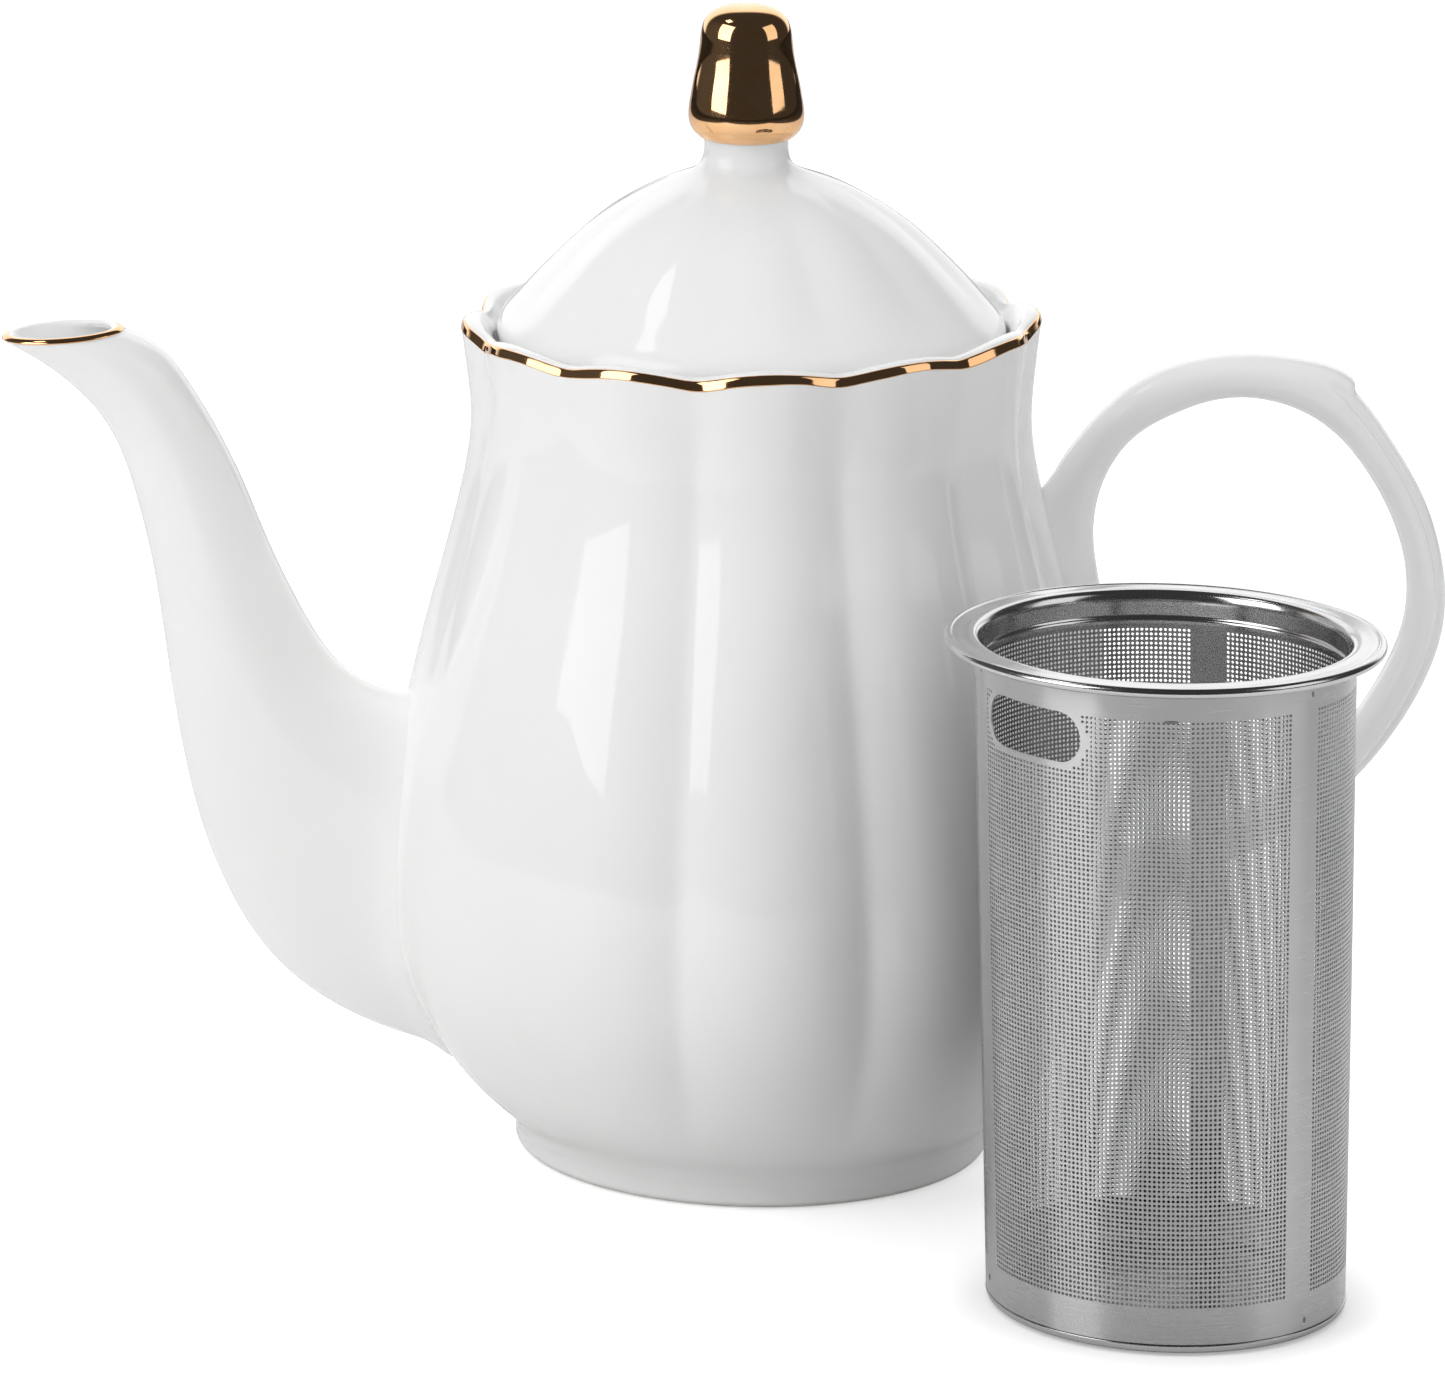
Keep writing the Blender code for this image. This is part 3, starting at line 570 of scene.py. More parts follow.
# ------------------------------------------------------------------------ handle
HANDLE = np.array([
    (47.0, 60.0, 51.6, 58.0, 2.6), (46.4, 72.0, 54.4, 71.0, 3.2), (45.2, 84.0, 55.0, 83.0, 3.8),
    (44.6, 95.5, 53.6, 93.0, 4.2), (47.6, 103.8, 54.6, 101.2, 4.3), (53.3, 111.6, 59.4, 109.0, 4.2),
    (61.9, 118.8, 66.4, 113.2, 4.1), (72.4, 122.0, 72.4, 115.2, 4.1), (82.4, 122.1, 79.6, 115.4, 4.1),
    (89.6, 120.2, 86.2, 113.4, 4.2), (94.0, 117.3, 90.4, 110.7, 4.1), (95.2, 114.2, 92.4, 108.9, 3.9),
    (100.6, 108.0, 96.2, 104.2, 3.9), (105.4, 99.2, 100.3, 96.6, 4.0), (108.0, 90.0, 102.4, 89.0, 4.0),
    (108.1, 80.0, 102.1, 80.8, 4.0), (105.0, 71.0, 99.2, 73.4, 4.0), (99.4, 62.0, 94.2, 65.6, 4.0),
    (91.4, 53.4, 87.2, 58.2, 4.1), (81.6, 46.6, 78.6, 52.2, 4.2), (70.4, 41.4, 68.6, 47.6, 4.4),
    (58.0, 37.4, 57.2, 44.4, 4.8), (47.5, 35.0, 47.2, 42.8, 5.2)])


def make_handle():
    inner_xz = HANDLE[:, 2:4]
    s = np.concatenate([[0], np.cumsum(np.linalg.norm(np.diff((HANDLE[:, :2] + inner_xz) / 2, axis=0), axis=1))])
    smooth = [i for i in range(len(HANDLE)) if i not in (10, 11)]
    outer = natural(s[smooth], HANDLE[smooth][:, :2])
    inner = natural(s[smooth], HANDLE[smooth][:, 2:4])
    width = natural(s, HANDLE[:, 4:5])
    nib = s[10] - 0.3
    t = np.linspace(0, s[-1], 420)
    w = np.arange(72) * 2 * math.pi / 72
    rings = []
    for q in t:
        o, i = outer(q), inner(q)
        b = float(width(q)[0])
        d = o - i
        a = np.linalg.norm(d) / 2
        d = d / (2 * a)
        mid = (o + i) / 2
        # the thumb nib: the top layer thickens towards its tip, then steps down
        before = math.exp(-((q - nib) / 5.5) ** 2) if q < nib else math.exp(-((q - nib) / 0.75) ** 2)
        rise = 1.3 * before
        keel = float(step01((q - nib - 0.3) / 2.0)) * (1.0 - 0.75 * float(step01((q - nib - 34) / 45)))
        p = np.sign(np.cos(w)) * np.abs(np.cos(w)) ** 0.94
        y = np.sign(np.sin(w)) * np.abs(np.sin(w)) ** 0.90
        pos = p * a + np.clip(p, 0, 1) ** 2 * rise
        # a spine stands proud along the outer edge below the nib, with a groove beside it
        depth = np.clip((p - 0.30) / 0.70, 0, 1)
        groove = max(keel, float(step01((q - nib + 5.0) / 4.0)) * (q < nib + 2))
        lat = y * b * (1 - groove * 0.20 * np.exp(-((p - 0.58) / 0.15) ** 2))
        pos = pos - groove * 0.60 * np.exp(-((p - 0.62) / 0.15) ** 2) + keel * 0.10 * depth
        rings.append(np.stack([mid[0] + d[0] * pos, lat, mid[1] + d[1] * pos], -1))
    rings = flare(np.array(rings), 3.4, 1.1)
    verts, faces = sheet(rings, tuple(rings[0].mean(0)), tuple(rings[-1].mean(0)))
    obj = build("handle_loop", verts, faces, GLAZE, POT)
    if volume_sign(obj.data) < 0:
        obj.data.flip_normals()
    return obj


# --------------------------------------------------------------------------- lid
NECK_SHIFT = -0.75                        # the neck and knob sit a little off the lid's axis


def make_lid():
    a, g = petal(40, 0.9)
    dome = along([
        (6.6, 156.6, 0), (6.62, 154.2, 0), (7.3, 152.2, 0), (9.2, 150.95, 0.05), (12.5, 149.75, 0.2), (18.5, 147.0, 0.5),
        (23.4, 144.0, 0.8), (27.3, 140.9, 1), (31.25, 137.15, 1), (34.8, 133.5, 0.75), (37.5, 130.5, 0.3),
        (39.0, 128.7, 0.05), (39.65, 127.3, 0), (39.75, 126.0, 0), (39.4, 124.2, 0)], 170)
    rim = turned([(dome[-1, 0], dome[-1, 1], 0), (38.9, 122.4, 0.6), (38.0, 121.75, 0.5), (26.3, 121.7, 0.7), (25.5, 120.6, 0.6),
                  (25.3, 114.4, 0.4), (24.7, 113.7, 0.5), (22.8, 113.7, 0.5), (22.2, 114.4, 0.4), (22.3, 123.0, 1.2),
                  (24.0, 125.5, 2), (33.0, 126.3, 1.5), (34.2, 128.2, 0.9), (30.4, 133.4, 0)], step=0.7)[1:]
    under = along([(30.4, 133.4), (23.2, 139.4), (12.0, 145.4), (2.0, 146.8)], 30)[1:]
    outline = np.vstack([dome[:, :2], rim, under])
    depth = np.concatenate([0.78 * np.clip(dome[:, 2], 0, 1), np.zeros(len(rim) + len(under))])
    verts, faces = sheet(lathe(outline, a, g, depth), (0, 0, 156.6), (0, 0, 146.8), flip=True)
    verts[:, 0] += NECK_SHIFT * step01((verts[:, 2] - 148.0) / 5.0)
    lid = build("lid_shell_fine", verts, faces, GLAZE, POT)
    # the steam vent, behind
    w = np.arange(24) * 2 * math.pi / 24
    rings = [np.stack([1.5 * np.cos(w), 19.0 + 1.5 * np.sin(w), np.full(24, z)], -1) for z in (132.0, 156.0)]
    v, f = sheet(rings, (0, 19.0, 132.0), (0, 19.0, 156.0))
    pierce(lid, build("vent_cutter", v, f, GLAZE, POT))
    return lid


def make_knob():
    top = KNOB_TOP
    side = along([(0.02, top), (1.8, top - 0.06), (3.6, top - 0.38), (5.2, top - 1.05), (6.35, top - 2.15), (6.95, top - 3.6),
                  (7.22, top - 5.4), (7.48, top - 7.7), (7.85, top - 9.8), (8.32, top - 12.0), (8.72, top - 14.2),
                  (9.0, top - 16.0), (9.07, top - 17.2), (8.95, top - 18.2), (8.58, top - 19.2), (7.95, top - 20.0),
                  (7.25, top - 20.6)], 150)
    base = turned([(side[-1, 0], side[-1, 1], 0), (6.75, top - 20.85, 0.2), (6.5, top - 20.6, 0)], step=0.3)[1:]
    verts, faces = round_lathe(np.vstack([side, base]), 160, first_pole=(0, 0, top), last_pole=(0, 0, top - 20.6), flip=True)
    verts[:, 0] += NECK_SHIFT
    return build("knob", verts, faces, LUSTRE, POT)


# ------------------------------------------------------------------------ basket
WALL_TOP, WALL_LOW = 95.6, 1.55
SHEET = 0.2


def basket_r(z):
    return 26.3 + 1.8 * z / 97.6


def make_flange():
    top = BASKET_H
    ri = 27.35
    bead = [(FLANGE_R - 0.74 + 0.74 * math.cos(math.radians(q)), top - 0.72 + 0.74 * math.sin(math.radians(q)), 0)
            for q in range(128, -200, -12)]
    outline = turned([
        (31.55, top - 0.62, 0), (28.9, top - 0.62, 0.3), (28.35, top - 1.1, 0.5), (28.25, top - 1.9, 0.2),
        (basket_r(94) + 0.05, top - 2.0, 0.1), (ri - 0.15, top - 2.3, 0.1), (ri - 0.05, top - 5.0, 0.1),
        (ri - 0.45, top - 5.05, 0.1), (ri - 0.5, top - 4.3, 0.3), (ri - 0.12, top - 3.9, 0.3), (ri - 0.16, top - 1.2, 0.8),
        (27.65, top - 0.25, 0.55), (28.6, top + 0.0, 0.5), (29.6, top - 0.13, 0.6), (30.75, top - 0.12, 0.3)]
        + bead, step=0.35, arc=8)
    verts, faces = round_lathe(outline[::-1], 320, closed=True)
    obj = build("infuser_rim", verts, faces, FLANGE_STEEL, BASKET, sharp=60)
    if volume_sign(obj.data) < 0:
        obj.data.flip_normals()
    return obj


def slot_distance(s, z):
    """Signed distance to the window slot's outline, in mm, and its outward direction."""
    mid, half, r = math.radians(218.1) * 28.0, math.radians(19.5) * 28.0, 3.7
    dx = s - mid
    ex = np.sign(dx) * np.maximum(np.abs(dx) - (half - r), 0)
    ez = z - 88.1
    d = np.maximum(np.hypot(ex, ez), 1e-6)
    return d - r, ex / d, ez / d


def make_wall():
    sector, strip = 75, 8                       # cells of a perforated third, and of a plain strip
    starts = []
    first = 310.0 - 5.5
    cols_a, holed_col = [], []
    for k in range(3):
        begin = first - 360 + 120 * k
        cols_a += list(begin + 11.0 * np.arange(strip) / strip)
        holed_col += [False] * strip
        cols_a += list(begin + 11.0 + 109.0 * np.arange(sector) / sector)
        holed_col += [True] * sector
    a = np.radians(np.array(cols_a) + 360.0)    # column edges; the last closes on the first
    ncol = len(a)
    zs = np.concatenate([np.linspace(WALL_LOW, 6.7, 5)[:-1], np.linspace(6.7, 91.9, 124)[:-1], np.linspace(91.9, WALL_TOP, 4)])
    holed_row = np.zeros(len(zs) - 1, bool)
    holed_row[4:4 + 123] = True
    nrow = len(zs) - 1
    A = np.tile(a, (nrow + 1, 1))
    Z = np.repeat(zs[:, None], ncol, 1)
    a_next = np.concatenate([a[1:], [a[0] + 2 * math.pi]])
    ca = (a + a_next) / 2
    cz = (zs[1:] + zs[:-1]) / 2
    CA, CZ = np.meshgrid(ca % (2 * math.pi), cz)
    sd, _, _ = slot_distance(CA * 28.0, CZ)
    gone = sd < 0
    holes = holed_row[:, None] & np.array(holed_col)[None, :] & (sd > 1.15)
    # corner points on the slot's edge move onto its outline
    touch = np.zeros((nrow + 1, ncol), bool)
    stays = np.zeros((nrow + 1, ncol), bool)
    for di in (0, 1):
        for dj in (0, 1):
            r = np.arange(nrow) + di
            c = (np.arange(ncol) + dj) % ncol
            t = np.zeros_like(touch)
            t[np.ix_(r, c)] = gone
            touch |= t
            t = np.zeros_like(stays)
            t[np.ix_(r, c)] = ~gone
            stays |= t
    edge = touch & stays
    d, ux, uz = slot_distance((A % (2 * math.pi)) * 28.0, Z)
    A = np.where(edge, A - d * ux / 28.0, A)
    Z = np.where(edge, Z - d * uz, Z)
    R = basket_r(Z)
    outer = np.stack([R * np.cos(A), R * np.sin(A), Z], -1).reshape(-1, 3)
    inner = np.stack([(R - SHEET) * np.cos(A), (R - SHEET) * np.sin(A), Z], -1).reshape(-1, 3)
    base_in = len(outer)
    rr, cc = np.meshgrid(np.arange(nrow), np.arange(ncol), indexing="ij")
    nxt = (cc + 1) % ncol
    c00, c01, c11, c10 = rr * ncol + cc, rr * ncol + nxt, (rr + 1) * ncol + nxt, (rr + 1) * ncol + cc
    plain = ~holes & ~gone
    quads = []
    q = np.stack([c00[plain], c01[plain], c11[plain], c10[plain]], -1)
    quads += [q, (q + base_in)[:, ::-1]]
    # round holes, slightly wider outside where the acid bit longer
    hc = np.argwhere(holes)
    hi, hj = hc[:, 0], hc[:, 1]
    am, zm = ca[hj], cz[hi]
    rm = basket_r(zm)
    k = np.arange(8) * math.pi / 4
    jig = 0.012 * np.sin(hi * 12.9898 + hj * 78.233)[:, None]
    def ring(radius, hole_r):
        da = (hole_r + jig) * np.cos(k)[None, :] / radius[:, None]
        dz = (hole_r + jig) * np.sin(k)[None, :]
        ang = am[:, None] + da
        return np.stack([radius[:, None] * np.cos(ang), radius[:, None] * np.sin(ang), zm[:, None] + dz], -1)
    ring_o, ring_i = ring(rm, 0.238), ring(rm - SHEET, 0.228)
    bo = 2 * base_in
    bi = bo + 8 * len(hc)
    o = bo + 8 * np.arange(len(hc))[:, None] + np.arange(8)[None, :]
    p = bi + 8 * np.arange(len(hc))[:, None] + np.arange(8)[None, :]
    A0, B0, C0, D0 = c00[hi, hj], c01[hi, hj], c11[hi, hj], c10[hi, hj]
    pent = [np.stack([B0, C0, o[:, 1], o[:, 0], o[:, 7]], -1), np.stack([C0, D0, o[:, 3], o[:, 2], o[:, 1]], -1),
            np.stack([D0, A0, o[:, 5], o[:, 4], o[:, 3]], -1), np.stack([A0, B0, o[:, 7], o[:, 6], o[:, 5]], -1)]
    pent += [np.stack([B0 + base_in, C0 + base_in, p[:, 1], p[:, 0], p[:, 7]], -1)[:, ::-1],
             np.stack([C0 + base_in, D0 + base_in, p[:, 3], p[:, 2], p[:, 1]], -1)[:, ::-1],
             np.stack([D0 + base_in, A0 + base_in, p[:, 5], p[:, 4], p[:, 3]], -1)[:, ::-1],
             np.stack([A0 + base_in, B0 + base_in, p[:, 7], p[:, 6], p[:, 5]], -1)[:, ::-1]]
    k2 = (np.arange(8) + 1) % 8
    quads.append(np.stack([o, o[:, k2], p[:, k2], p], -1).reshape(-1, 4))
    # walls of the slot, and the sheet's two ends
    for i, j in np.argwhere(gone):
        for ni, nj, e0, e1 in ((i, (j + 1) % ncol, c01, c11), (i, (j - 1) % ncol, c10, c00),
                               (i + 1, j, c11, c10), (i - 1, j, c00, c01)):
            if not gone[ni, nj]:
                u, v = e0[i, j], e1[i, j]
                quads.append(np.array([[u, v, v + base_in, u + base_in]]))
    low, high = np.arange(ncol), nrow * ncol + np.arange(ncol)
    nl, nh = (np.arange(ncol) + 1) % ncol, nrow * ncol + (np.arange(ncol) + 1) % ncol
    quads += [np.stack([nl, low, low + base_in, nl + base_in], -1), np.stack([high, nh, nh + base_in, high + base_in], -1)]
    quads = [np.vstack(quads)]
    verts = np.vstack([outer, inner, ring_o.reshape(-1, 3), ring_i.reshape(-1, 3)])
    # the rolled tube isn't perfectly round
    ang = np.arctan2(verts[:, 1], verts[:, 0])
    soft = 0.10 * np.sin(2 * ang + 0.6) * np.sin(verts[:, 2] / 97.6 * math.pi) + 0.035 * np.sin(5 * ang + verts[:, 2] / 21.0)
    rad = np.hypot(verts[:, 0], verts[:, 1])
    verts[:, 0] *= (rad + soft) / rad
    verts[:, 1] *= (rad + soft) / rad
    wall = build("infuser_perforated_wall", verts, quads + [np.vstack(pent)], WALL_STEEL, BASKET, sharp=50)
    # the second material, for faces turned into the basket, is the same steel darkened as painted shade
    wall.data.materials.append(INSIDE_STEEL_PAINTED_SHADE)
    count = len(wall.data.polygons)
    facing, middle = np.empty(count * 3, np.float32), np.empty(count * 3, np.float32)
    wall.data.polygons.foreach_get("normal", facing)
    wall.data.polygons.foreach_get("center", middle)
    facing, middle = facing.reshape(-1, 3), middle.reshape(-1, 3)
    out = (middle[:, 0] - BASKET[0] * MM) * facing[:, 0] + (middle[:, 1] - BASKET[1] * MM) * facing[:, 1]
    wall.data.polygons.foreach_set("material_index", (out < -0.01).astype(np.int32))
    return wall


def make_base():
    """The pressed cup that closes the tube, its rolled edge showing below the seam."""
    outline = turned([
        (20.6, 0.55, 0), (22.0, 0.5, 0.4), (22.6, 0.05, 0.4), (24.6, 0.0, 0.4), (26.05, 0.28, 0.7), (26.42, 1.0, 0.35),
        (26.36, 1.42, 0.12), (25.75, 1.5, 0.15), (25.72, 5.9, 0.1), (25.35, 5.95, 0.1), (25.35, 1.6, 0.5),
        (24.4, 0.6, 0.5), (22.9, 0.7, 0.3), (22.3, 0.95, 0.3), (20.6, 0.95, 0)], step=0.3, arc=8)
    v1, f1 = round_lathe(outline, 256, closed=True)
    # perforated floor of the cup
    pitch, keep_r = 0.72, 21.3
    n = int(keep_r / pitch) + 1
    edges = (np.arange(-n, n + 1)) * pitch
    mids = (edges[1:] + edges[:-1]) / 2
    X, Y = np.meshgrid(edges, edges)
    MX, MY = np.meshgrid(mids, mids)
    mr = np.hypot(MX, MY)
    kept, holed = mr < keep_r, mr < keep_r - 1.3
    rows = len(edges)
    idx = np.arange(rows * rows).reshape(rows, rows)
    a0, b0, c0, d0 = idx[:-1, :-1], idx[:-1, 1:], idx[1:, 1:], idx[1:, :-1]
    count = np.zeros((rows, rows), int)
    for s in (np.s_[:-1, :-1], np.s_[:-1, 1:], np.s_[1:, 1:], np.s_[1:, :-1]):
        count[s] += kept
    rim = (count > 0) & (count < 4)
    rad = np.maximum(np.hypot(X, Y), 1e-6)
    X, Y = np.where(rim, X * keep_r / rad, X), np.where(rim, Y * keep_r / rad, Y)
    zt, zb = 0.86, 0.62
    up = np.stack([X, Y, np.full_like(X, zt)], -1).reshape(-1, 3)
    dn = np.stack([X, Y, np.full_like(X, zb)], -1).reshape(-1, 3)
    nb = len(up)
    plain = kept & ~holed
    q = np.stack([a0[plain], b0[plain], c0[plain], d0[plain]], -1)
    hx, hy = MX[holed], MY[holed]
    k = np.arange(8) * math.pi / 4
    ring = np.stack([hx[:, None] + 0.21 * np.cos(k), hy[:, None] + 0.21 * np.sin(k)], -1)
    ru = np.concatenate([ring, np.full(ring.shape[:2] + (1,), zt)], -1).reshape(-1, 3)
    rd = np.concatenate([ring, np.full(ring.shape[:2] + (1,), zb)], -1).reshape(-1, 3)
    m = len(hx)
    o = 2 * nb + 8 * np.arange(m)[:, None] + np.arange(8)
    p = o + 8 * m
    A0, B0, C0, D0 = a0[holed], b0[holed], c0[holed], d0[holed]
    def pents(A, B, C, D, o):
        return np.vstack([np.stack([B, C, o[:, 1], o[:, 0], o[:, 7]], -1), np.stack([C, D, o[:, 3], o[:, 2], o[:, 1]], -1),
                          np.stack([D, A, o[:, 5], o[:, 4], o[:, 3]], -1), np.stack([A, B, o[:, 7], o[:, 6], o[:, 5]], -1)])
    f_up = pents(A0, B0, C0, D0, o)
    f_dn = pents(A0 + nb, B0 + nb, C0 + nb, D0 + nb, p)[:, ::-1]
    k2 = (np.arange(8) + 1) % 8
    walls = np.stack([o, o[:, k2], p[:, k2], p], -1).reshape(-1, 4)
    v2 = np.vstack([up, dn, ru, rd])
    used = np.zeros(len(v2), bool)
    faces2 = [q, (q + nb)[:, ::-1], walls, f_up, f_dn]
    for f in faces2:
        used[f.ravel()] = True
    remap = np.cumsum(used) - 1 + len(v1)
    faces = f1 + [remap[f] for f in faces2]
    return build("infuser_base_cup", np.vstack([v1, v2[used]]), faces, BASE_STEEL, BASKET, sharp=50)


def make_weld_marks():
    """Small resistance-weld dimples where the rolled sheet is joined to rim and base."""
    verts, faces = [], []
    total = 0
    spots = [(313.0, 94.0, 0.26, 0.48), (313.0, 2.9, 0.34, 0.48), (187.0, 4.0, 0.34, 0.48), (73.0, 94.0, 0.26, 0.5),
             (73.0, 3.0, 0.34, 0.5), (265.3, 91.8, 1.25, 0.24), (190.5, 93.8, 0.26, 0.5)]
    u = np.arange(20) * 2 * math.pi / 20
    for az, z, hw, hh in spots:
        a0 = math.radians(az)
        rings = []
        for k, h in ((1.0, -0.05), (0.8, 0.05), (0.5, 0.075), (0.25, 0.03)):
            ang = a0 + hw * k * np.cos(u) / 28.0
            zz = z + hh * k * np.sin(u)
            r = basket_r(zz) + h + 0.03
            rings.append(np.stack([r * np.cos(ang), r * np.sin(ang), zz], -1))
        tip = basket_r(z) + 0.02
        v, f = sheet(np.array(rings), None, (tip * math.cos(a0), tip * math.sin(a0), z))
        faces += [q + total for q in f]
        verts.append(v)
        total += len(v)
    return build("infuser_weld_marks", np.vstack(verts), faces, MARK_STEEL, BASKET)


MARK_STEEL = steel("weld-darkened steel", 0.34, 0.5, (0.30, 0.29, 0.28), (1, 1, 1), 0.3)

# --------------------------------------------------------------------- the pieces
for maker, body, slot_name, nodes in (
        (make_body, "pot", "porcelain", ("pot_body",)),
        (make_spout, "pot", "porcelain", ("spout",)),
        (make_handle, "pot", "porcelain", ("handle",)),
        (make_rim_gilding, "pot", "gold_lustre", ("rim_gold_band",)),
        (make_spout_gilding, "pot", "gold_lustre", ("spout_gold_band",)),
        (make_lid, "lid", "porcelain", ("lid_shell",)),
        (make_knob, "lid", "gold_lustre", ("lid_knob",)),
        (make_flange, "infuser", "polished_steel", ("infuser_flange",)),
        (make_wall, "infuser", "perforated_steel", ("infuser_wall",)),
        (make_base, "infuser", "polished_steel", ("infuser_base",)),
        (make_weld_marks, "infuser", "perforated_steel", ())):
    piece = maker()
    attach(piece, body)
    if nodes:
        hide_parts(*nodes)


# -------------------------------------------------------------------------- studio
def make_floor():
    mesh = bpy.data.meshes.new("floor")
    s = 6.0
    mesh.from_pydata([(-s, -s, -0.0002), (s, -s, -0.0002), (s, s, -0.0002), (-s, s, -0.0002)], [], [(0, 1, 2, 3)])
    mat = bpy.data.materials.new("white sweep")
    mat.use_nodes = True
    t = mat.node_tree
    t.nodes.remove(t.nodes["Principled BSDF"])
    out = t.nodes["Material Output"]
    diff = t.nodes.new("ShaderNodeBsdfDiffuse")
    place = t.nodes.new("ShaderNodeSeparateXYZ")
    t.links.new(t.nodes.new("ShaderNodeNewGeometry").outputs["Position"], place.inputs[0])
    edges = []
    for socket, lo, hi in (("X", -0.75, -0.60), ("X", 0.75, 0.60), ("Y", -0.80, -0.62)):
        ramp = t.nodes.new("ShaderNodeMapRange")
        ramp.interpolation_type = "SMOOTHSTEP"
        t.links.new(place.outputs[socket], ramp.inputs["Value"])
        for key, value in (("From Min", lo), ("From Max", hi), ("To Min", 0.0), ("To Max", 1.0)):
            ramp.inputs[key].default_value = value
        edges.append(ramp.outputs["Result"])
    on_top = edges[0]
    for edge in edges[1:]:
        both = t.nodes.new("ShaderNodeMath")
        both.operation = "MULTIPLY"
        t.links.new(on_top, both.inputs[0])
        t.links.new(edge, both.inputs[1])
        on_top = both.outputs[0]
    rays = t.nodes.new("ShaderNodeLightPath")
    direct = t.nodes.new("ShaderNodeMath")                     # the edges only matter in reflections
    direct.operation = "SUBTRACT"
    direct.inputs[0].default_value = 1.0
    t.links.new(rays.outputs["Is Glossy Ray"], direct.inputs[1])
    either = t.nodes.new("ShaderNodeMath")
    either.operation = "MAXIMUM"
    t.links.new(on_top, either.inputs[0])
    t.links.new(direct.outputs[0], either.inputs[1])
    on_top = either.outputs[0]
    shade = t.nodes.new("ShaderNodeMapRange")
    shade.inputs["To Min"].default_value = 0.06
    shade.inputs["To Max"].default_value = 0.86
    t.links.new(on_top, shade.inputs["Value"])
    t.links.new(shade.outputs["Result"], diff.inputs["Color"])
    glow = t.nodes.new("ShaderNodeEmission")
    glow.inputs["Color"].default_value = (1, 1, 1, 1)
    path = t.nodes.new("ShaderNodeLightPath")
    level = t.nodes.new("ShaderNodeMapRange")       # more glow for the camera, so that the sweep burns out to white
    level.inputs["To Min"].default_value = FLOOR_GLOW
    t.links.new(path.outputs["Is Camera Ray"], level.inputs["Value"])
    # the glow is held back close to each foot, where the piece above keeps the sweep's light off
    amount = None
    for (cx, cy), near, far, least in ((POT, 0.034, 0.066, 1.0), (BASKET, 0.0262, 0.035, 0.75)):
        where = t.nodes.new("ShaderNodeVectorMath")
        where.operation = "DISTANCE"
        t.links.new(t.nodes.new("ShaderNodeNewGeometry").outputs["Position"], where.inputs[0])
        where.inputs[1].default_value = (cx * MM, cy * MM, 0.0)
        held = t.nodes.new("ShaderNodeMapRange")
        held.interpolation_type = "SMOOTHSTEP"
        for key, value in (("From Min", near), ("From Max", far), ("To Min", least), ("To Max", 1.0)):
            held.inputs[key].default_value = value
        t.links.new(where.outputs["Value"], held.inputs["Value"])
        if amount is None:
            amount = held.outputs["Result"]
        else:
            both = t.nodes.new("ShaderNodeMath")
            both.operation = "MULTIPLY"
            t.links.new(amount, both.inputs[0])
            t.links.new(held.outputs["Result"], both.inputs[1])
            amount = both.outputs[0]
    scaled = t.nodes.new("ShaderNodeMath")
    scaled.operation = "MULTIPLY"
    t.links.new(amount, scaled.inputs[0])
    scaled.inputs[1].default_value = FLOOR_CAMERA_GLOW
    t.links.new(scaled.outputs[0], level.inputs["To Max"])
    t.links.new(level.outputs["Result"], glow.inputs["Strength"])
    add = t.nodes.new("ShaderNodeAddShader")
    t.links.new(diff.outputs[0], add.inputs[0])
    t.links.new(glow.outputs[0], add.inputs[1])
    # seen from below the sweep isn't there
    clear = t.nodes.new("ShaderNodeBsdfTransparent")
    back = t.nodes.new("ShaderNodeNewGeometry").outputs["Backfacing"]
    mix = t.nodes.new("ShaderNodeMixShader")
    t.links.new(back, mix.inputs[0])
    t.links.new(add.outputs[0], mix.inputs[1])
    t.links.new(clear.outputs[0], mix.inputs[2])
    t.links.new(mix.outputs[0], out.inputs["Surface"])
    mesh.materials.append(mat)
    obj = bpy.data.objects.new("floor", mesh)
    bpy.context.scene.collection.objects.link(obj)


FLOOR_GLOW, FLOOR_CAMERA_GLOW = 0.0, 0.50


def softbox(name, azimuth, elevation, distance, width, height, radiance, target, glossy=True):
    """A rectangular panel. azimuth is from -Y towards +X, seen from the target."""
    light = bpy.data.lights.new(name, "AREA")
    light.shape = "RECTANGLE"
    light.size, light.size_y = width, height
    light.energy = radiance * width * height * math.pi
    light.use_shadow = True
    obj = bpy.data.objects.new(name, light)
    a, e = math.radians(azimuth), math.radians(elevation)
    back = Vector((math.sin(a) * math.cos(e), -math.cos(a) * math.cos(e), math.sin(e)))
    obj.location = Vector(target) + back * distance
    obj.rotation_mode = "QUATERNION"
    obj.rotation_quaternion = back.to_track_quat("Z", "Y")
    obj.visible_camera = False
    obj.visible_glossy = glossy
    bpy.context.scene.collection.objects.link(obj)
    return obj


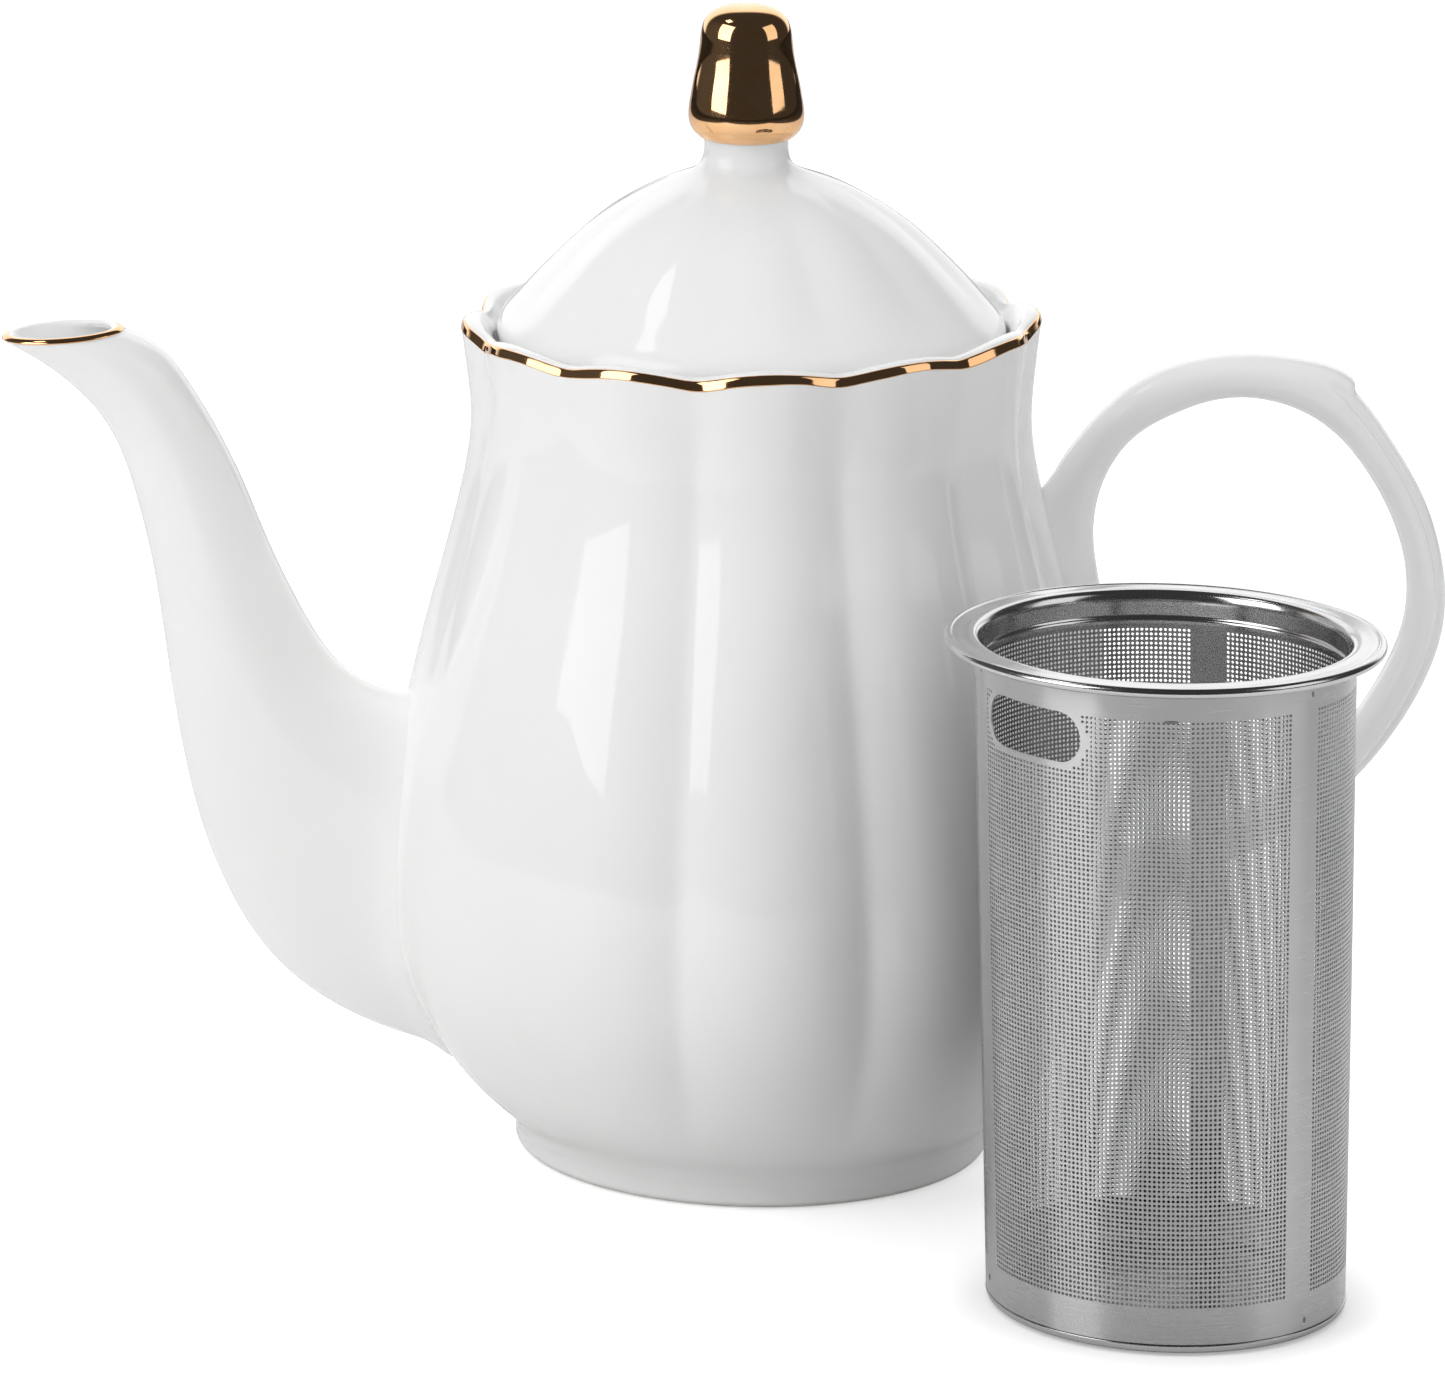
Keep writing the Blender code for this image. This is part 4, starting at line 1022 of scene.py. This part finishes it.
def make_world():
    world = bpy.data.worlds.new("studio")
    bpy.context.scene.world = world
    world.use_nodes = True
    t = world.node_tree
    bg = t.nodes["Background"]
    out = t.nodes["World Output"]
    d = t.nodes.new("ShaderNodeSeparateXYZ")
    t.links.new(t.nodes.new("ShaderNodeTexCoord").outputs["Generated"], d.inputs[0])

    def smooth(value, lo, hi, a, b):
        node = t.nodes.new("ShaderNodeMapRange")
        node.interpolation_type = "SMOOTHSTEP"
        for key, v in (("Value", value), ("From Min", lo), ("From Max", hi), ("To Min", a), ("To Max", b)):
            if isinstance(v, bpy.types.NodeSocket):
                t.links.new(v, node.inputs[key])
            else:
                node.inputs[key].default_value = v
        return node.outputs["Result"]

    def mth(op, a, b):
        node = t.nodes.new("ShaderNodeMath")
        node.operation = op
        for k, v in ((0, a), (1, b)):
            if isinstance(v, bpy.types.NodeSocket):
                t.links.new(v, node.inputs[k])
            else:
                node.inputs[k].default_value = v
        return node.outputs[0]

    x, y, z = d.outputs["X"], d.outputs["Y"], d.outputs["Z"]
    # the lit wall behind the object: what it sheds, and the smaller part seen in reflections
    sheds = smooth(y, 0.52, 0.76, 0.0, BACKDROP)
    seen = smooth(y, 0.62, 0.78, 0.0, BACKDROP_SEEN)
    glossy = t.nodes.new("ShaderNodeLightPath").outputs["Is Glossy Ray"]
    backdrop = mth("ADD", mth("MULTIPLY", seen, glossy), mth("MULTIPLY", sheds, mth("SUBTRACT", 1.0, glossy)))
    left = smooth(mth("MULTIPLY", x, -1.0), 0.55, 0.95, 0.0, SIDE_LEFT)
    right = smooth(x, 0.55, 0.95, 0.0, SIDE_RIGHT)
    level = mth("ADD", mth("ADD", backdrop, ROOM), mth("ADD", left, right))
    t.links.new(level, bg.inputs["Strength"])
    white = t.nodes.new("ShaderNodeBackground")
    white.inputs["Strength"].default_value = 1.2
    mix = t.nodes.new("ShaderNodeMixShader")
    t.links.new(t.nodes.new("ShaderNodeLightPath").outputs["Is Camera Ray"], mix.inputs[0])
    t.links.new(bg.outputs[0], mix.inputs[1])
    t.links.new(white.outputs[0], mix.inputs[2])
    t.links.new(mix.outputs[0], out.inputs["Surface"])
    bg.inputs["Color"].default_value = (1, 1, 1, 1)
    white.inputs["Color"].default_value = (1, 1, 1, 1)


BACKDROP, BACKDROP_SEEN, SIDE_LEFT, SIDE_RIGHT, ROOM = 2.2, 1.25, 0.04, 0.0, 0.045
AIM = (POT[0] * MM, POT[1] * MM, 0.085)
make_floor()
make_world()
softbox("key softbox", -62.0, 27.0, 1.25, 0.80, 0.90, 2.7, AIM)
softbox("side softbox", 67.0, 25.0, 1.35, 0.75, 0.88, 1.05, AIM)
softbox("lid softbox", -93.0, 61.0, 1.25, 0.30, 0.22, 3.2, (-0.010, -0.005, 0.140))
softbox("overhead panel", 0.0, 88.0, 1.6, 2.2, 2.2, 1.02, AIM, glossy=False)
softbox("front fill", 0.0, 35.0, 1.4, 1.4, 1.4, 0.57, AIM, glossy=False)
softbox("low front fill", -10.0, 5.0, 1.4, 1.2, 0.5, 0.80, AIM, glossy=False)
softbox("left fill", -30.0, 40.0, 1.4, 1.4, 1.4, 0.12, AIM, glossy=False)
softbox("low right fill", 62.0, 4.0, 1.2, 0.9, 0.5, 1.1, (AIM[0] + 0.02, AIM[1], 0.03), glossy=False)

# -------------------------------------------------------------------------- camera
HOME = Vector(((POT[0] - 86.1) * MM, (POT[1] - 1334.3) * MM, 0.4073))
cam = bpy.data.cameras.new("camera")
cam_obj = bpy.data.objects.new("camera", cam)
bpy.context.scene.collection.objects.link(cam_obj)
cam_obj.location = HOME
cam_obj.rotation_euler = (math.radians(90), 0, 0)
cam.sensor_fit = "HORIZONTAL"
cam.sensor_width = 36.0
cam.lens = 8525.0 / 1445.0 * 36.0
cam.clip_start, cam.clip_end = 0.05, 30.0
bpy.context.scene.camera = cam_obj
# A level view camera with a shifted lens keeps uprights upright.  The shift is for
# this viewpoint alone, so it is driven to nothing when the camera stands elsewhere.
home = bpy.data.objects.new("camera_home", None)
home.location = HOME
bpy.context.scene.collection.objects.link(home)
for prop, amount in (("shift_x", (722.5 - 201.0) / 1445.0), ("shift_y", -(690.0 + 1467.0) / 1445.0)):
    setattr(cam, prop, amount)
    driver = cam.driver_add(prop).driver
    driver.type = "SCRIPTED"
    var = driver.variables.new()
    var.name = "d"
    var.type = "LOC_DIFF"
    var.targets[0].id = cam_obj
    var.targets[1].id = home
    driver.expression = f"{amount:.6f} if d < 0.0005 else 0.0"

bpy.context.scene.view_settings.view_transform = "Standard"
bpy.context.scene.view_settings.look = "None"
bpy.context.scene.cycles.use_denoising = True
bpy.context.scene.cycles.denoising_prefilter = "NONE"      # keeps the fine holes
bpy.context.scene.cycles.caustics_reflective = False
bpy.context.scene.cycles.caustics_refractive = False
bpy.context.scene.cycles.sample_clamp_indirect = 4.0
bpy.context.scene.cycles.max_bounces = 8
bpy.context.scene.cycles.diffuse_bounces = 4
bpy.context.scene.cycles.glossy_bounces = 6
